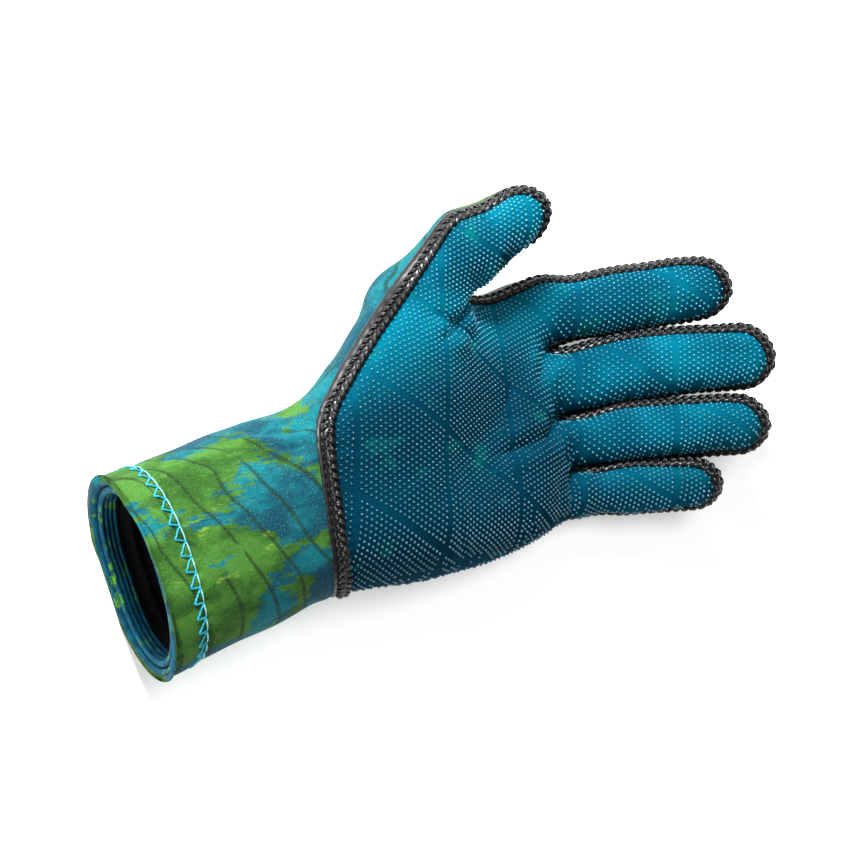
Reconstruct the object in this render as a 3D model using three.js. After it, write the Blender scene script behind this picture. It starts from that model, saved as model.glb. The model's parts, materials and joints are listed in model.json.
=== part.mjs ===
// A left-hand neoprene diving glove with five digits, lying on its back with the palm up.
// Millimetres. X runs from the cuff to the fingertips, Y points to the thumb, Z points up out of the palm.
import * as THREE from "three";

// Sheet and seams
const wall = 3;
const panelGap = 0.4;
const seamWidth = 5;
const seamHeight = 1.7;
const seamClearance = 0.42;
const stripWidth = 1.8;
const stripHeight = 0.6;
// How far each seam stops short of its corner. It either ends there in a mitre, or has its share of its size
// and gets back to its full size where the taper ends.
const crotchTaper = 10;
const mitred = { short: 0.25, mitre: true };
const squared = { short: 4.9, taper: 5.4, scale: 1 };
const tapered = { short: 5, taper: crotchTaper, scale: 0.4 };
const webbed = { short: 3.5, taper: 8, scale: 0.5 };
const rooted = { short: 5.5, taper: crotchTaper, scale: 0.5 };
const seamEnds = {
  wrist_seam: [mitred, mitred],
  thumb_seam: [mitred, rooted],
  index_seam: [webbed, tapered],
  middle_seam: [tapered, tapered],
  ring_seam: [tapered, tapered],
  little_seam: [tapered, squared],
};

// Cuff and wrist
const cuffLength = 83.2;
const mouthWidth = 76;
const mouthDepth = 61;
const wristWidth = 71;
const wristDepth = 50;
const wristLift = 3;
const restFlat = 1.2;

// Palm
const palmLength = 114;
const heelWidth = 84;
const heelDepth = 46;
const palmWidth = 93;
const palmDepth = 37;
const knuckleWidth = 93;
const knuckleDepth = 29;

// Facing inside the mouth
const facingLength = 15;
const facingThickness = 2;
const facingRibs = 4;
const ribDepth = 0.7;
const edgeRoll = 1.2;
const facingClearance = 0.3;

const looks = {
  palm: { color: "#1a7ea6", roughness: 0.72, metalness: 0 },
  back: { color: "#3c8c45", roughness: 0.82, metalness: 0 },
  facing: { color: "#1f7c80", roughness: 0.85, metalness: 0 },
  seam: { color: "#17191b", roughness: 0.6, metalness: 0 },
};

// Thumb root, where the thumb leaves the side of the palm
const thumbRootAlong = 48;
const thumbCrotchAlong = 80;
const thumbRoot = { along: 64.5, across: 62, height: 27 };
const thumbCrotch = { along: 81, across: 49, height: 20 };

// Cells across one digit on each of its faces, and rows along each stretch
const digitCells = 6;
const cuffRows = 7;
const heelRows = 4;
const webRows = 4;
const digitRows = 6;
const domeRows = 3;

// Share of a half ring that each side of the hand takes on top of its finger's width
const sideExtra = 0.045;
// Steps along a half ring and along a digit's spine
const ringSteps = 96;
const spineSteps = 24;
// How far before the crotches the palm starts to dip, and where the last row before them lies
const dipReach = 15;
const webReach = 5;
// Columns and rows over which the thumb's root pulls the body's side out to it
const pullColumns = 9;
const pullRows = 3.2;
// Share of the thumb's length at which its root ring lies, and how near its last point lies to the crotch
const thumbStart = 0.06;
const crotchPull = 0.3;
// How strongly each pass of smoothing moves a point: near the thumb's root, in the dips between the fingers,
// and in the first rings of the thumb and the fingers
const settlePasses = 14;
const settleMost = 0.6;
const settleRoot = { rows: 3, columns: 9, before: 4, weight: 1.2 };
const settleDip = { rows: 1.5, weight: 0.35 };
const settleThumb = [0.6, 0.45, 0.2];
const settleFinger = 0.15;

const radians = THREE.MathUtils.degToRad;
const vector = (x, y, z) => new THREE.Vector3(x, y, z);

// Sections of the hollow body. along is a share of the cuff's length below the wrist and of the palm's above it,
// and shift and lift are shares of the wrist's width and lift. Seams are degrees off the side, to the palm on
// the thumb's side and to the back on the other. slant turns the section about Z, in degrees.
const bodySections = [
  {
    along: -1, shift: -0.09, width: mouthWidth, depth: mouthDepth, lift: 0, power: 2.1,
    radial: 40, ulnar: 14, slant: 0, lean: -1.1,
  },
  {
    along: -0.45, shift: -0.045, width: mouthWidth * 0.96, depth: mouthDepth * 0.95, lift: 0.1,
    power: 2.1, radial: 48, ulnar: 14, slant: 0, lean: 0,
  },
  {
    along: 0, shift: -0.02, width: wristWidth, depth: wristDepth, lift: 1, power: 2.1,
    radial: 63, ulnar: 18, slant: 9, lean: -18,
  },
  {
    along: 0.3, shift: -0.02, width: heelWidth, depth: heelDepth, lift: 0.4, power: 2.3,
    radial: 46, ulnar: 24, slant: 6, lean: -12,
  },
  {
    along: 0.68, shift: 0.03, width: palmWidth, depth: palmDepth, lift: 0, power: 2.4,
    radial: 26, ulnar: 26, slant: 6, lean: 0,
  },
  {
    along: 1, shift: 0.075, width: knuckleWidth, depth: knuckleDepth, lift: 0, power: 2.4,
    radial: 24, ulnar: 24, slant: 8, lean: 0,
  },
];

// Mounds and hollows of the palm sheet: along and reach are shares of the palm's length, across and spread of
// half its width, height of its depth.
const palmMounds = [
  { along: 0.28, across: 0.5, reach: 0.3, spread: 0.5, height: 0.2 },
  { along: 0.2, across: -0.55, reach: 0.32, spread: 0.45, height: 0.06 },
  { along: 0.62, across: 0.05, reach: 0.2, spread: 0.45, height: -0.17 },
];

// Digits from the thumb's side across. Angles in degrees: yaw about Z, pitch up out of the palm, both at the
// root, then how much each changes to the tip. twist turns the seam towards the palm on the thumb's side.
const thumb = {
  name: "thumb", length: 58.5, width: 29, depth: 27, yaw: 34, yawBend: -34, pitch: 17,
  curl: -2, twist: 54, unwind: -40,
};
const fingers = [
  {
    name: "index", across: 0.75, length: 74.5, width: 22.4, depth: 22, yaw: -9, yawBend: -2,
    pitch: 8, curl: 10, twist: 24, unwind: 0,
  },
  {
    name: "middle", across: 0.19, length: 86, width: 23.4, depth: 22.5, yaw: -10, yawBend: -3,
    pitch: 9, curl: 10, twist: 24, unwind: 0,
  },
  {
    name: "ring", across: -0.325, length: 78.5, width: 21.8, depth: 21.5, yaw: -12,
    yawBend: -2, pitch: 9, curl: 10, twist: 26, unwind: 0,
  },
  {
    name: "little", across: -0.785, length: 56.5, width: 20.4, depth: 20, yaw: -14, yawBend: 1,
    pitch: 8, curl: 10, twist: 28, unwind: 0,
  },
];

// Thickness of a digit along its length, as shares of its own length, width and depth.
const fingerSections = [
  { along: 0, width: 1, depth: 1.04 },
  { along: 0.22, width: 0.98, depth: 1.02 },
  { along: 0.45, width: 1, depth: 0.98 },
  { along: 0.62, width: 0.98, depth: 0.98 },
  { along: 0.8, width: 0.96, depth: 0.94 },
  { along: 1, width: 0.9, depth: 0.86 },
];
const thumbSections = [
  { along: 0, width: 1.62, depth: 1.2 },
  { along: 0.25, width: 1.26, depth: 1.1 },
  { along: 0.5, width: 0.95, depth: 1 },
  { along: 0.75, width: 0.79, depth: 0.9 },
  { along: 1, width: 0.7, depth: 0.8 },
];

// A smooth value between the rows of a table: a cubic through them in the named column.
function between(rows, key, at, column) {
  const last = rows.length - 1;
  let i = 0;
  while (i < last - 1 && at > rows[i + 1][key]) i++;
  const [a, b] = [rows[i], rows[i + 1]];
  const span = b[key] - a[key];
  const t = THREE.MathUtils.clamp((at - a[key]) / span, 0, 1);
  const slope = (p, q) => (q[column] - p[column]) / (q[key] - p[key]);
  const mid = slope(a, b);
  const left = i > 0 ? (slope(rows[i - 1], a) + mid) / 2 : mid;
  const right = i < last - 1 ? (mid + slope(b, rows[i + 2])) / 2 : mid;
  const [t2, t3] = [t * t, t * t * t];
  return (
    (2 * t3 - 3 * t2 + 1) * a[column] +
    (t3 - 2 * t2 + t) * span * left +
    (3 * t2 - 2 * t3) * b[column] +
    (t3 - t2) * span * right
  );
}

const bodyTable = bodySections.map((row) => ({
  ...row,
  x: row.along * (row.along < 0 ? cuffLength : palmLength),
}));

const bell = (value) => Math.exp(-value * value);

// One point of the body's outer face. side is 1 on the palm sheet and -1 on the back sheet.
function ringPoint(x, side, angle) {
  const section = {};
  for (const column of ["shift", "width", "depth", "lift", "power", "slant", "lean"])
    section[column] = between(bodyTable, "x", x, column);
  const round = (value) => Math.sign(value) * Math.abs(value) ** (2 / section.power);
  const across = round(Math.cos(angle));
  const up = round(Math.sin(angle));
  const y = across * (section.width / 2);
  let z = section.lift * wristLift - restFlat + (1 + up) * (section.depth / 2);
  if (up > 0) {
    const along = x / palmLength;
    for (const mound of palmMounds)
      z +=
        mound.height * section.depth * up *
        bell((along - mound.along) / mound.reach) *
        bell((across - mound.across) / mound.spread);
  }
  const slant = y * Math.tan(radians(section.slant));
  const lean = up * (section.depth / 2) * Math.tan(radians(section.lean));
  return vector(x + slant + lean, section.shift * wristWidth + y, Math.max(z, 0));
}

// Columns of the body: four fingers' worth on each sheet, spaced by length along the ring.
const columns = fingers.length * digitCells;
const fingerSpan = fingers.reduce((sum, finger) => sum + finger.width, 0);
const columnShares = [];
{
  let from = 0;
  fingers.forEach((finger, f) => {
    const outer = f === 0 || f === fingers.length - 1 ? sideExtra : 0;
    const to = from + (finger.width / fingerSpan) * (1 - 2 * sideExtra) + outer;
    for (let m = 0; m < digitCells; m++) columnShares.push(from + ((to - from) * m) / digitCells);
    from = to;
  });
  columnShares.push(1);
}

function halfRing(x, side) {
  const radial = between(bodyTable, "x", x, "radial");
  const ulnar = between(bodyTable, "x", x, "ulnar");
  const end = side > 0 ? 180 + ulnar : ulnar - 180;
  const dense = [];
  const travelled = [0];
  for (let k = 0; k <= ringSteps; k++) {
    dense.push(ringPoint(x, side, radians(radial + ((end - radial) * k) / ringSteps)));
    if (k > 0) travelled.push(travelled[k - 1] + dense[k].distanceTo(dense[k - 1]));
  }
  return columnShares.map((share) => {
    const target = share * travelled[ringSteps];
    let k = 1;
    while (k < ringSteps && travelled[k] < target) k++;
    const part = (target - travelled[k - 1]) / (travelled[k] - travelled[k - 1]);
    return dense[k - 1].clone().lerp(dense[k], THREE.MathUtils.clamp(part, 0, 1));
  });
}

// A digit's spine and frame at a share of its length.
function spineAt(digit, root, share) {
  const at = root.clone();
  const heading = (s) => {
    const yaw = radians(digit.yaw + digit.yawBend * s);
    const pitch = radians(digit.pitch + digit.curl * s);
    return vector(Math.cos(pitch) * Math.cos(yaw), Math.cos(pitch) * Math.sin(yaw), Math.sin(pitch));
  };
  for (let k = 0; k < spineSteps; k++)
    at.addScaledVector(heading(((k + 0.5) / spineSteps) * share), (digit.length * share) / spineSteps);
  const ahead = heading(share);
  const side = vector(0, 0, 1).cross(ahead).normalize();
  const up = ahead.clone().cross(side);
  return { at, side, up };
}

// A ring of a digit on one sheet, from its thumb-side seam to its other seam.
function digitRing(digit, root, share, scale, sheet) {
  const { at, side, up } = spineAt(digit, root, share);
  const sections = digit === thumb ? thumbSections : fingerSections;
  const width = between(sections, "along", share, "width") * digit.width * scale;
  const depth = between(sections, "along", share, "depth") * digit.depth * scale;
  const ring = [];
  for (let m = 0; m <= digitCells; m++) {
    const angle = radians(digit.twist + digit.unwind * share) + (sheet * Math.PI * m) / digitCells;
    ring.push(
      at.clone()
        .addScaledVector(side, (Math.cos(angle) * width) / 2)
        .addScaledVector(up, (Math.sin(angle) * depth) / 2),
    );
  }
  return ring;
}

// The outer face as one net of points and quads. Each face carries the panel that it belongs to.
const net = { points: [], faces: [] };
const addPoint = (point) => net.points.push(point) - 1;
const addFace = (panel, ...ids) => net.faces.push({ panel, ids });

// Rows of the body, from the mouth to the crotches of the fingers
const rowsAlong = [];
const spread = (from, to, count) => {
  for (let k = 0; k < count; k++) rowsAlong.push(from + ((to - from) * k) / count);
};
rowsAlong.push(-cuffLength, -cuffLength + edgeRoll);
spread(-cuffLength + facingLength / 2, -cuffLength + facingLength, 1);
spread(-cuffLength + facingLength, 0, cuffRows - 1);
const wristRow = rowsAlong.length;
spread(0, thumbRootAlong, heelRows);
const thumbFirst = rowsAlong.length;
spread(thumbRootAlong, thumbCrotchAlong, digitCells);
const thumbLast = rowsAlong.length;
spread(thumbCrotchAlong, palmLength - webReach, webRows - 1);
rowsAlong.push(palmLength - webReach, palmLength);
const crotchRow = rowsAlong.length - 1;

const sheets = { palm: 1, back: -1 };
const bodyPlaces = {};
for (const [name, side] of Object.entries(sheets))
  bodyPlaces[name] = rowsAlong.map((x) => halfRing(x, side));

// Roots of the fingers, side by side across the crotch row
const crotchSection = (column) => between(bodyTable, "x", palmLength, column);
const crotchTurn = Math.tan(radians(crotchSection("slant")));
const crotchHeight = knuckleDepth / 2 - restFlat;
const fingerRoots = fingers.map((finger) => {
  const y = (finger.across * knuckleWidth) / 2;
  return vector(palmLength + y * crotchTurn, y + crotchSection("shift") * wristWidth, crotchHeight);
});

// The crotch row takes the fingers' root rings. Neighbours share the point between them.
for (const [name, side] of Object.entries(sheets)) {
  const row = bodyPlaces[name][crotchRow];
  const rings = fingers.map((finger, f) => digitRing(finger, fingerRoots[f], 0, 1, side));
  rings.forEach((ring, f) => ring.forEach((point, m) => row[f * digitCells + m].copy(point)));
  for (let f = 1; f < fingers.length; f++)
    row[f * digitCells].copy(rings[f - 1][digitCells]).lerp(rings[f][0], 0.5);
}
// Both sheets meet in one point between two fingers.
for (let f = 1; f < fingers.length; f++) {
  const j = f * digitCells;
  bodyPlaces.palm[crotchRow][j].lerp(bodyPlaces.back[crotchRow][j], 0.5);
  bodyPlaces.back[crotchRow][j].copy(bodyPlaces.palm[crotchRow][j]);
}
// Just before the crotches the palm already dips between the fingers.
for (const name of Object.keys(sheets))
  for (let i = thumbLast; i < crotchRow; i++) {
    const back = palmLength - rowsAlong[i];
    const share = Math.max(0, 1 - back / dipReach) ** 2;
    bodyPlaces[name][i].forEach((point, j) => {
      const target = bodyPlaces[name][crotchRow][j].clone().add(vector(-back, 0, 0));
      point.lerp(target, share);
    });
  }

// Root ring of the thumb, across the side of the palm, from its outer seam to its crotch
const place = ({ along, across, height }) => vector(along, across, height);
const thumbRings = {};
for (const [name, side] of Object.entries(sheets)) {
  thumbRings[name] = digitRing(thumb, place(thumbRoot), 0, 1, side);
  thumbRings[name][digitCells].copy(place(thumbCrotch));
  thumbRings[name][digitCells - 1].lerp(place(thumbCrotch), crotchPull);
}
// The root ring pulls the body's side out to it, less and less towards the middle of the hand and along it.
for (const name of Object.keys(sheets)) {
  const places = bodyPlaces[name];
  const pulls = thumbRings[name].map((point, m) => point.clone().sub(places[thumbFirst + m][0]));
  for (let i = 1; i < crotchRow; i++) {
    const m = THREE.MathUtils.clamp(i - thumbFirst, 0, digitCells);
    const fade = bell((i - thumbFirst - m) / pullRows);
    places[i].forEach((point, j) => {
      const hold = Math.max(0, 1 - j / pullColumns);
      point.addScaledVector(pulls[m], fade * hold * hold * (3 - 2 * hold));
    });
  }
}

// Body net: ids of both sheets, which share their seam columns but not across the thumb's root
const bodyIds = { palm: [], back: [] };
rowsAlong.forEach((_, i) => {
  const palm = bodyPlaces.palm[i].map(addPoint);
  const back = bodyPlaces.back[i].map((point, j) => {
    const thumbSide = j === 0 && (i <= thumbFirst || i >= thumbLast);
    const crotch = i === crotchRow && j % digitCells === 0;
    return thumbSide || j === columns || crotch ? palm[j] : addPoint(point);
  });
  bodyIds.palm.push(palm);
  bodyIds.back.push(back);
});
const quad = (panel, side, a, b, c, d) =>
  side > 0 ? addFace(panel, a, b, c, d) : addFace(panel, d, c, b, a);
for (const [name, side] of Object.entries(sheets))
  for (let i = 0; i < crotchRow; i++)
    for (let j = 0; j < columns; j++) {
      const [near, far] = [bodyIds[name][i], bodyIds[name][i + 1]];
      quad(i < wristRow ? "back" : name, side, near[j], near[j + 1], far[j + 1], far[j]);
    }

// Digit nets, each ending in one point at its tip
function addDigit(digit, root, rootIds, firstShare) {
  const tipRound = (digit.width * 0.5) / digit.length;
  const stops = [];
  const straight = 1 - tipRound;
  for (let k = 1; k <= digitRows; k++)
    stops.push({ share: firstShare + ((straight - firstShare) * k) / digitRows, scale: 1 });
  for (let k = 1; k < domeRows; k++) {
    const angle = (Math.PI / 2) * (k / domeRows);
    stops.push({ share: straight + tipRound * Math.sin(angle), scale: Math.cos(angle) });
  }
  const rings = { palm: [rootIds.palm], back: [rootIds.back] };
  for (const { share, scale } of stops) {
    const palm = digitRing(digit, root, share, scale, 1).map(addPoint);
    const back = digitRing(digit, root, share, scale, -1).map((point, m) =>
      m === 0 || m === digitCells ? palm[m] : addPoint(point),
    );
    rings.palm.push(palm);
    rings.back.push(back);
  }
  const tip = addPoint(spineAt(digit, root, 1).at);
  for (const [name, side] of Object.entries(sheets)) {
    const rows = rings[name];
    for (let r = 0; r + 1 < rows.length; r++)
      for (let m = 0; m < digitCells; m++)
        quad(name, side, rows[r][m], rows[r][m + 1], rows[r + 1][m + 1], rows[r + 1][m]);
    const end = rows[rows.length - 1];
    for (let m = 0; m < digitCells; m++)
      side > 0 ? addFace(name, end[m], end[m + 1], tip) : addFace(name, tip, end[m + 1], end[m]);
  }
  return { rings, tip };
}
const digitNets = fingers.map((finger, f) => {
  const rootIds = {};
  for (const name of Object.keys(sheets))
    rootIds[name] = bodyIds[name][crotchRow].slice(f * digitCells, (f + 1) * digitCells + 1);
  return addDigit(finger, fingerRoots[f], rootIds, 0);
});
const thumbIds = {};
for (const name of Object.keys(sheets))
  thumbIds[name] = bodyIds[name].slice(thumbFirst, thumbLast + 1).map((row) => row[0]);
const thumbNet = addDigit(thumb, place(thumbRoot), thumbIds, thumbStart);

// The web around the thumb's root settles into a smooth sheet, as do the dips between the fingers.
const neighbours = net.points.map(() => new Set());
for (const { ids } of net.faces)
  ids.forEach((id, k) => {
    const next = ids[(k + 1) % ids.length];
    neighbours[id].add(next);
    neighbours[next].add(id);
  });
const ease = new Map();
for (const name of Object.keys(sheets)) {
  for (let i = thumbFirst - settleRoot.before; i < crotchRow; i++)
    for (let j = 0; j <= columns; j++) {
      const m = THREE.MathUtils.clamp(i - thumbFirst, 0, digitCells);
      const near = bell((i - thumbFirst - m) / settleRoot.rows) * Math.max(0, 1 - j / settleRoot.columns);
      const dip = bell((crotchRow - 1 - i) / settleDip.rows) * settleDip.weight;
      ease.set(bodyIds[name][i][j], Math.min(settleMost, near * settleRoot.weight + dip));
    }
  settleThumb.forEach((weight, r) => {
    for (const id of thumbNet.rings[name][r]) ease.set(id, weight);
  });
  for (const digitNet of digitNets)
    for (const id of digitNet.rings[name][1]) ease.set(id, settleFinger);
}
for (let pass = 0; pass < settlePasses; pass++) {
  const moved = [...ease].map(([id, weight]) => {
    const mean = vector(0, 0, 0);
    for (const other of neighbours[id]) mean.add(net.points[other]);
    mean.divideScalar(neighbours[id].size);
    return [id, net.points[id].clone().lerp(mean, weight)];
  });
  for (const [id, point] of moved) net.points[id].copy(point);
}
for (const point of net.points) point.z = Math.max(point.z, 0);

// The border between the two panels as runs of points, each from one end of a seam to the other
const seamUp = (digitNet) => digitNet.rings.palm.slice(1).map((ring) => ring[0]);
const seamDown = (digitNet) => digitNet.rings.palm.slice(1).map((ring) => ring[digitCells]).reverse();
const alongDigit = (digitNet) => [...seamUp(digitNet), digitNet.tip, ...seamDown(digitNet)];
const palmRows = (from, to, j) => bodyIds.palm.slice(from, to + 1).map((row) => row[j]);
const crotchAt = (f) => bodyIds.palm[crotchRow][f * digitCells];
const seams = [
  { name: "wrist_seam", ids: [...bodyIds.palm[wristRow]].reverse() },
  {
    name: "thumb_seam",
    ids: [...palmRows(wristRow, thumbFirst, 0), ...alongDigit(thumbNet), bodyIds.palm[thumbLast][0]],
  },
  ...fingers.map((finger, f) => ({
    name: `${finger.name}_seam`,
    ids: [
      ...(f === 0 ? palmRows(thumbLast, crotchRow, 0) : [crotchAt(f)]),
      ...alongDigit(digitNets[f]),
      ...(f === fingers.length - 1 ? palmRows(wristRow, crotchRow, columns).reverse() : [crotchAt(f + 1)]),
    ],
  })),
];
const border = seams.flatMap(({ ids }) => ids.slice(0, -1));

// Area-weighted normals of the outer face, for all of it or for one panel's faces
function faceNormal(ids) {
  const sum = vector(0, 0, 0);
  ids.forEach((id, k) => sum.add(net.points[id].clone().cross(net.points[ids[(k + 1) % ids.length]])));
  return sum;
}
function normalsOf(faces) {
  const normals = new Map();
  for (const { ids } of faces) {
    const normal = faceNormal(ids);
    for (const id of ids) {
      if (!normals.has(id)) normals.set(id, vector(0, 0, 0));
      normals.get(id).add(normal);
    }
  }
  for (const normal of normals.values()) normal.normalize();
  return normals;
}
const outward = normalsOf(net.faces);
const panelFaces = (name) => net.faces.filter((face) => face.panel === name);
const inPlane = (direction, normal) => direction.clone().addScaledVector(normal, -direction.dot(normal));

// At each border point, the way off the border into the palm panel
const borderWays = new Map();
border.forEach((id, k) => {
  const next = net.points[border[(k + 1) % border.length]];
  const last = net.points[border[(k + border.length - 1) % border.length]];
  const along = inPlane(next.clone().sub(last), outward.get(id)).normalize();
  borderWays.set(id, along.cross(outward.get(id)));
});

// Solids are gathered as points and triangles.
class Shell {
  constructor() {
    this.points = [];
    this.index = [];
  }
  add(point) {
    return this.points.push(point) - 1;
  }
  face(...ids) {
    for (let k = 1; k + 1 < ids.length; k++) this.index.push(ids[0], ids[k], ids[k + 1]);
  }
  // Closes two loops of equal length with a band. The face looks away from the loops' left.
  band(near, far, closed) {
    const count = closed ? near.length : near.length - 1;
    for (let k = 0; k < count; k++) {
      const next = (k + 1) % near.length;
      this.face(near[k], near[next], far[next], far[k]);
    }
  }
  mesh(name, look) {
    const geometry = new THREE.BufferGeometry();
    const places = this.points.flatMap((point) => point.toArray());
    geometry.setAttribute("position", new THREE.Float32BufferAttribute(places, 3));
    geometry.setIndex(this.index);
    geometry.computeVertexNormals();
    const mesh = new THREE.Mesh(geometry, new THREE.MeshStandardMaterial(look));
    mesh.name = name;
    return mesh;
  }
}

// One panel as a sheet of even thickness below the outer face, with square edges at the seams
const mouthIds = new Set([...bodyIds.palm[0], ...bodyIds.back[0]]);
function panelSolid(name, look) {
  const shell = new Shell();
  const side = sheets[name];
  const outer = new Map();
  const inner = new Map();
  for (const { ids } of panelFaces(name))
    for (const id of ids) {
      if (outer.has(id)) continue;
      const point = net.points[id].clone();
      const way = borderWays.get(id);
      if (way) point.addScaledVector(way, (side * panelGap) / 2);
      const below = point.clone().addScaledVector(outward.get(id), -wall);
      if (mouthIds.has(id)) {
        point.addScaledVector(outward.get(id), -edgeRoll);
        below.addScaledVector(outward.get(id), edgeRoll / 2);
      }
      outer.set(id, shell.add(point));
      inner.set(id, shell.add(below));
    }
  const open = new Set();
  for (const { ids } of panelFaces(name)) {
    shell.face(...ids.map((id) => outer.get(id)));
    shell.face(...ids.map((id) => inner.get(id)).reverse());
    ids.forEach((id, k) => {
      const next = ids[(k + 1) % ids.length];
      if (!open.delete(`${next} ${id}`)) open.add(`${id} ${next}`);
    });
  }
  for (const edge of open) {
    const [a, b] = edge.split(" ").map(Number);
    const wallFace = [outer.get(b), outer.get(a), inner.get(a), inner.get(b)];
    // Both panels split their shared edge the same way, so the gap between them stays even.
    if (a < b) wallFace.push(wallFace.shift());
    shell.face(...wallFace);
  }
  return shell.mesh(name + "_panel", look);
}

// Ribbed facing inside the mouth, a closed ring below the cuff's inner face
const ringIds = (i) => [...bodyIds.palm[i], ...bodyIds.back[i].slice(1, -1).reverse()];
function facingSolid(look) {
  const shell = new Shell();
  const first = 1;
  const last = 3;
  const ring = (at, below) => {
    const i = Math.min(Math.floor(at), last - 1);
    const [near, far] = [ringIds(i), ringIds(i + 1)];
    return near.map((id, k) => {
      const place = (end) => net.points[end].clone().addScaledVector(outward.get(end), -below);
      return shell.add(place(id).lerp(place(far[k]), at - i));
    });
  };
  const top = wall + facingClearance;
  const rings = [];
  for (let i = first; i <= last; i++) rings.push(ring(i, top));
  const span = last - first;
  rings.push(ring(last, top + facingThickness));
  for (let k = facingRibs; k > 0; k--) {
    const step = span / facingRibs;
    const from = first + step * (k - 1);
    rings.push(ring(from + step * 0.75, top + facingThickness + (k === facingRibs ? ribDepth / 2 : ribDepth)));
    rings.push(ring(from + step * 0.35, top + facingThickness + ribDepth));
    rings.push(ring(from + step * (k === 1 ? 0 : 0.05), top + facingThickness));
  }
  rings.forEach((near, k) => shell.band(near, rings[(k + 1) % rings.length], true));
  return shell.mesh("hem_facing", look);
}

// Raised seam that hugs both faces beside its run of border points, with a low strip on the back panel's side
const sideNormals = { palm: normalsOf(panelFaces("palm")), back: normalsOf(panelFaces("back")) };
const seamProfile = [
  { side: "back", reach: seamWidth / 2 + stripWidth, rise: stripHeight / 4 },
  { side: "back", reach: seamWidth / 2 + stripWidth, rise: stripHeight },
  { side: "back", reach: seamWidth / 2, rise: stripHeight },
  { side: "back", reach: seamWidth * 0.36, rise: seamHeight * 0.8 },
  { side: "middle", reach: 0, rise: seamHeight },
  { side: "palm", reach: seamWidth * 0.36, rise: seamHeight * 0.8 },
  { side: "palm", reach: seamWidth / 2, rise: 0 },
  { side: "middle", reach: 0, rise: 0 },
];
function seamSolid({ name, ids }, look) {
  const shell = new Shell();
  const stations = ids.map((id) => {
    const point = net.points[id];
    const palmward = borderWays.get(id);
    const ways = {};
    for (const side of Object.keys(sheets)) {
      const normal = sideNormals[side].get(id);
      const way = inPlane(palmward, normal).normalize().multiplyScalar(sheets[side]);
      ways[side] = { normal, way };
    }
    const normal = outward.get(id);
    ways.middle = { normal, way: palmward, stretch: 1 / Math.max(0.6, normal.dot(ways.palm.normal)) };
    return { point, ways };
  });
  const section = (station, scale) =>
    seamProfile.map(({ side, reach, rise }) => {
      const { normal, way, stretch = 1 } = station.ways[side];
      return station.point.clone()
        .addScaledVector(way, reach * scale)
        .addScaledVector(normal, (seamClearance + rise * scale) * stretch);
    });
  const mix = (a, b, share) => a.map((point, k) => point.clone().lerp(b[k], share));
  const sections = stations.map((station) => section(station, 1));
  // Each end stops a little short of the corner that it shares with the next seam, and narrows there.
  const shorten = (end, inner, trim) => {
    const room = end.point.distanceTo(inner.point);
    const facing = trim.mitre ? end : { point: end.point, ways: inner.ways };
    const at = (distance, scale) => mix(section(facing, scale), section(inner, scale), distance / room);
    return trim.mitre ? [at(trim.short, 1)] : [at(trim.short, trim.scale), at(trim.taper, 1)];
  };
  const [startTrim, endTrim] = seamEnds[name];
  const last = stations.length - 1;
  const head = shorten(stations[0], stations[1], startTrim);
  const tail = shorten(stations[last], stations[last - 1], endTrim);
  const rings = [...head, ...sections.slice(1, -1), ...tail.reverse()].map((points) =>
    points.map((point) => shell.add(point)),
  );
  for (let k = 0; k + 1 < rings.length; k++) shell.band(rings[k], rings[k + 1], true);
  shell.face(...rings[0].slice().reverse());
  shell.face(...rings[rings.length - 1]);
  return shell.mesh(name, look);
}

const group = new THREE.Group();
group.name = "diving_glove";
group.add(panelSolid("palm", looks.palm));
group.add(panelSolid("back", looks.back));
group.add(facingSolid(looks.facing));
for (const seam of seams) group.add(seamSolid(seam, looks.seam));

// The origin is the middle of the box's underside.
const box = new THREE.Box3().setFromObject(group);
const centre = box.getCenter(vector(0, 0, 0));
for (const mesh of group.children) mesh.geometry.translate(-centre.x, -centre.y, -box.min.z);

export default group;
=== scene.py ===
import json
import math
from functools import lru_cache, partial

import bpy
import numpy as np
from bpy.props import FloatProperty, FloatVectorProperty, IntProperty, PointerProperty
from mathutils import Matrix, Vector
from mathutils.bvhtree import BVHTree
from mathutils.kdtree import KDTree

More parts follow.
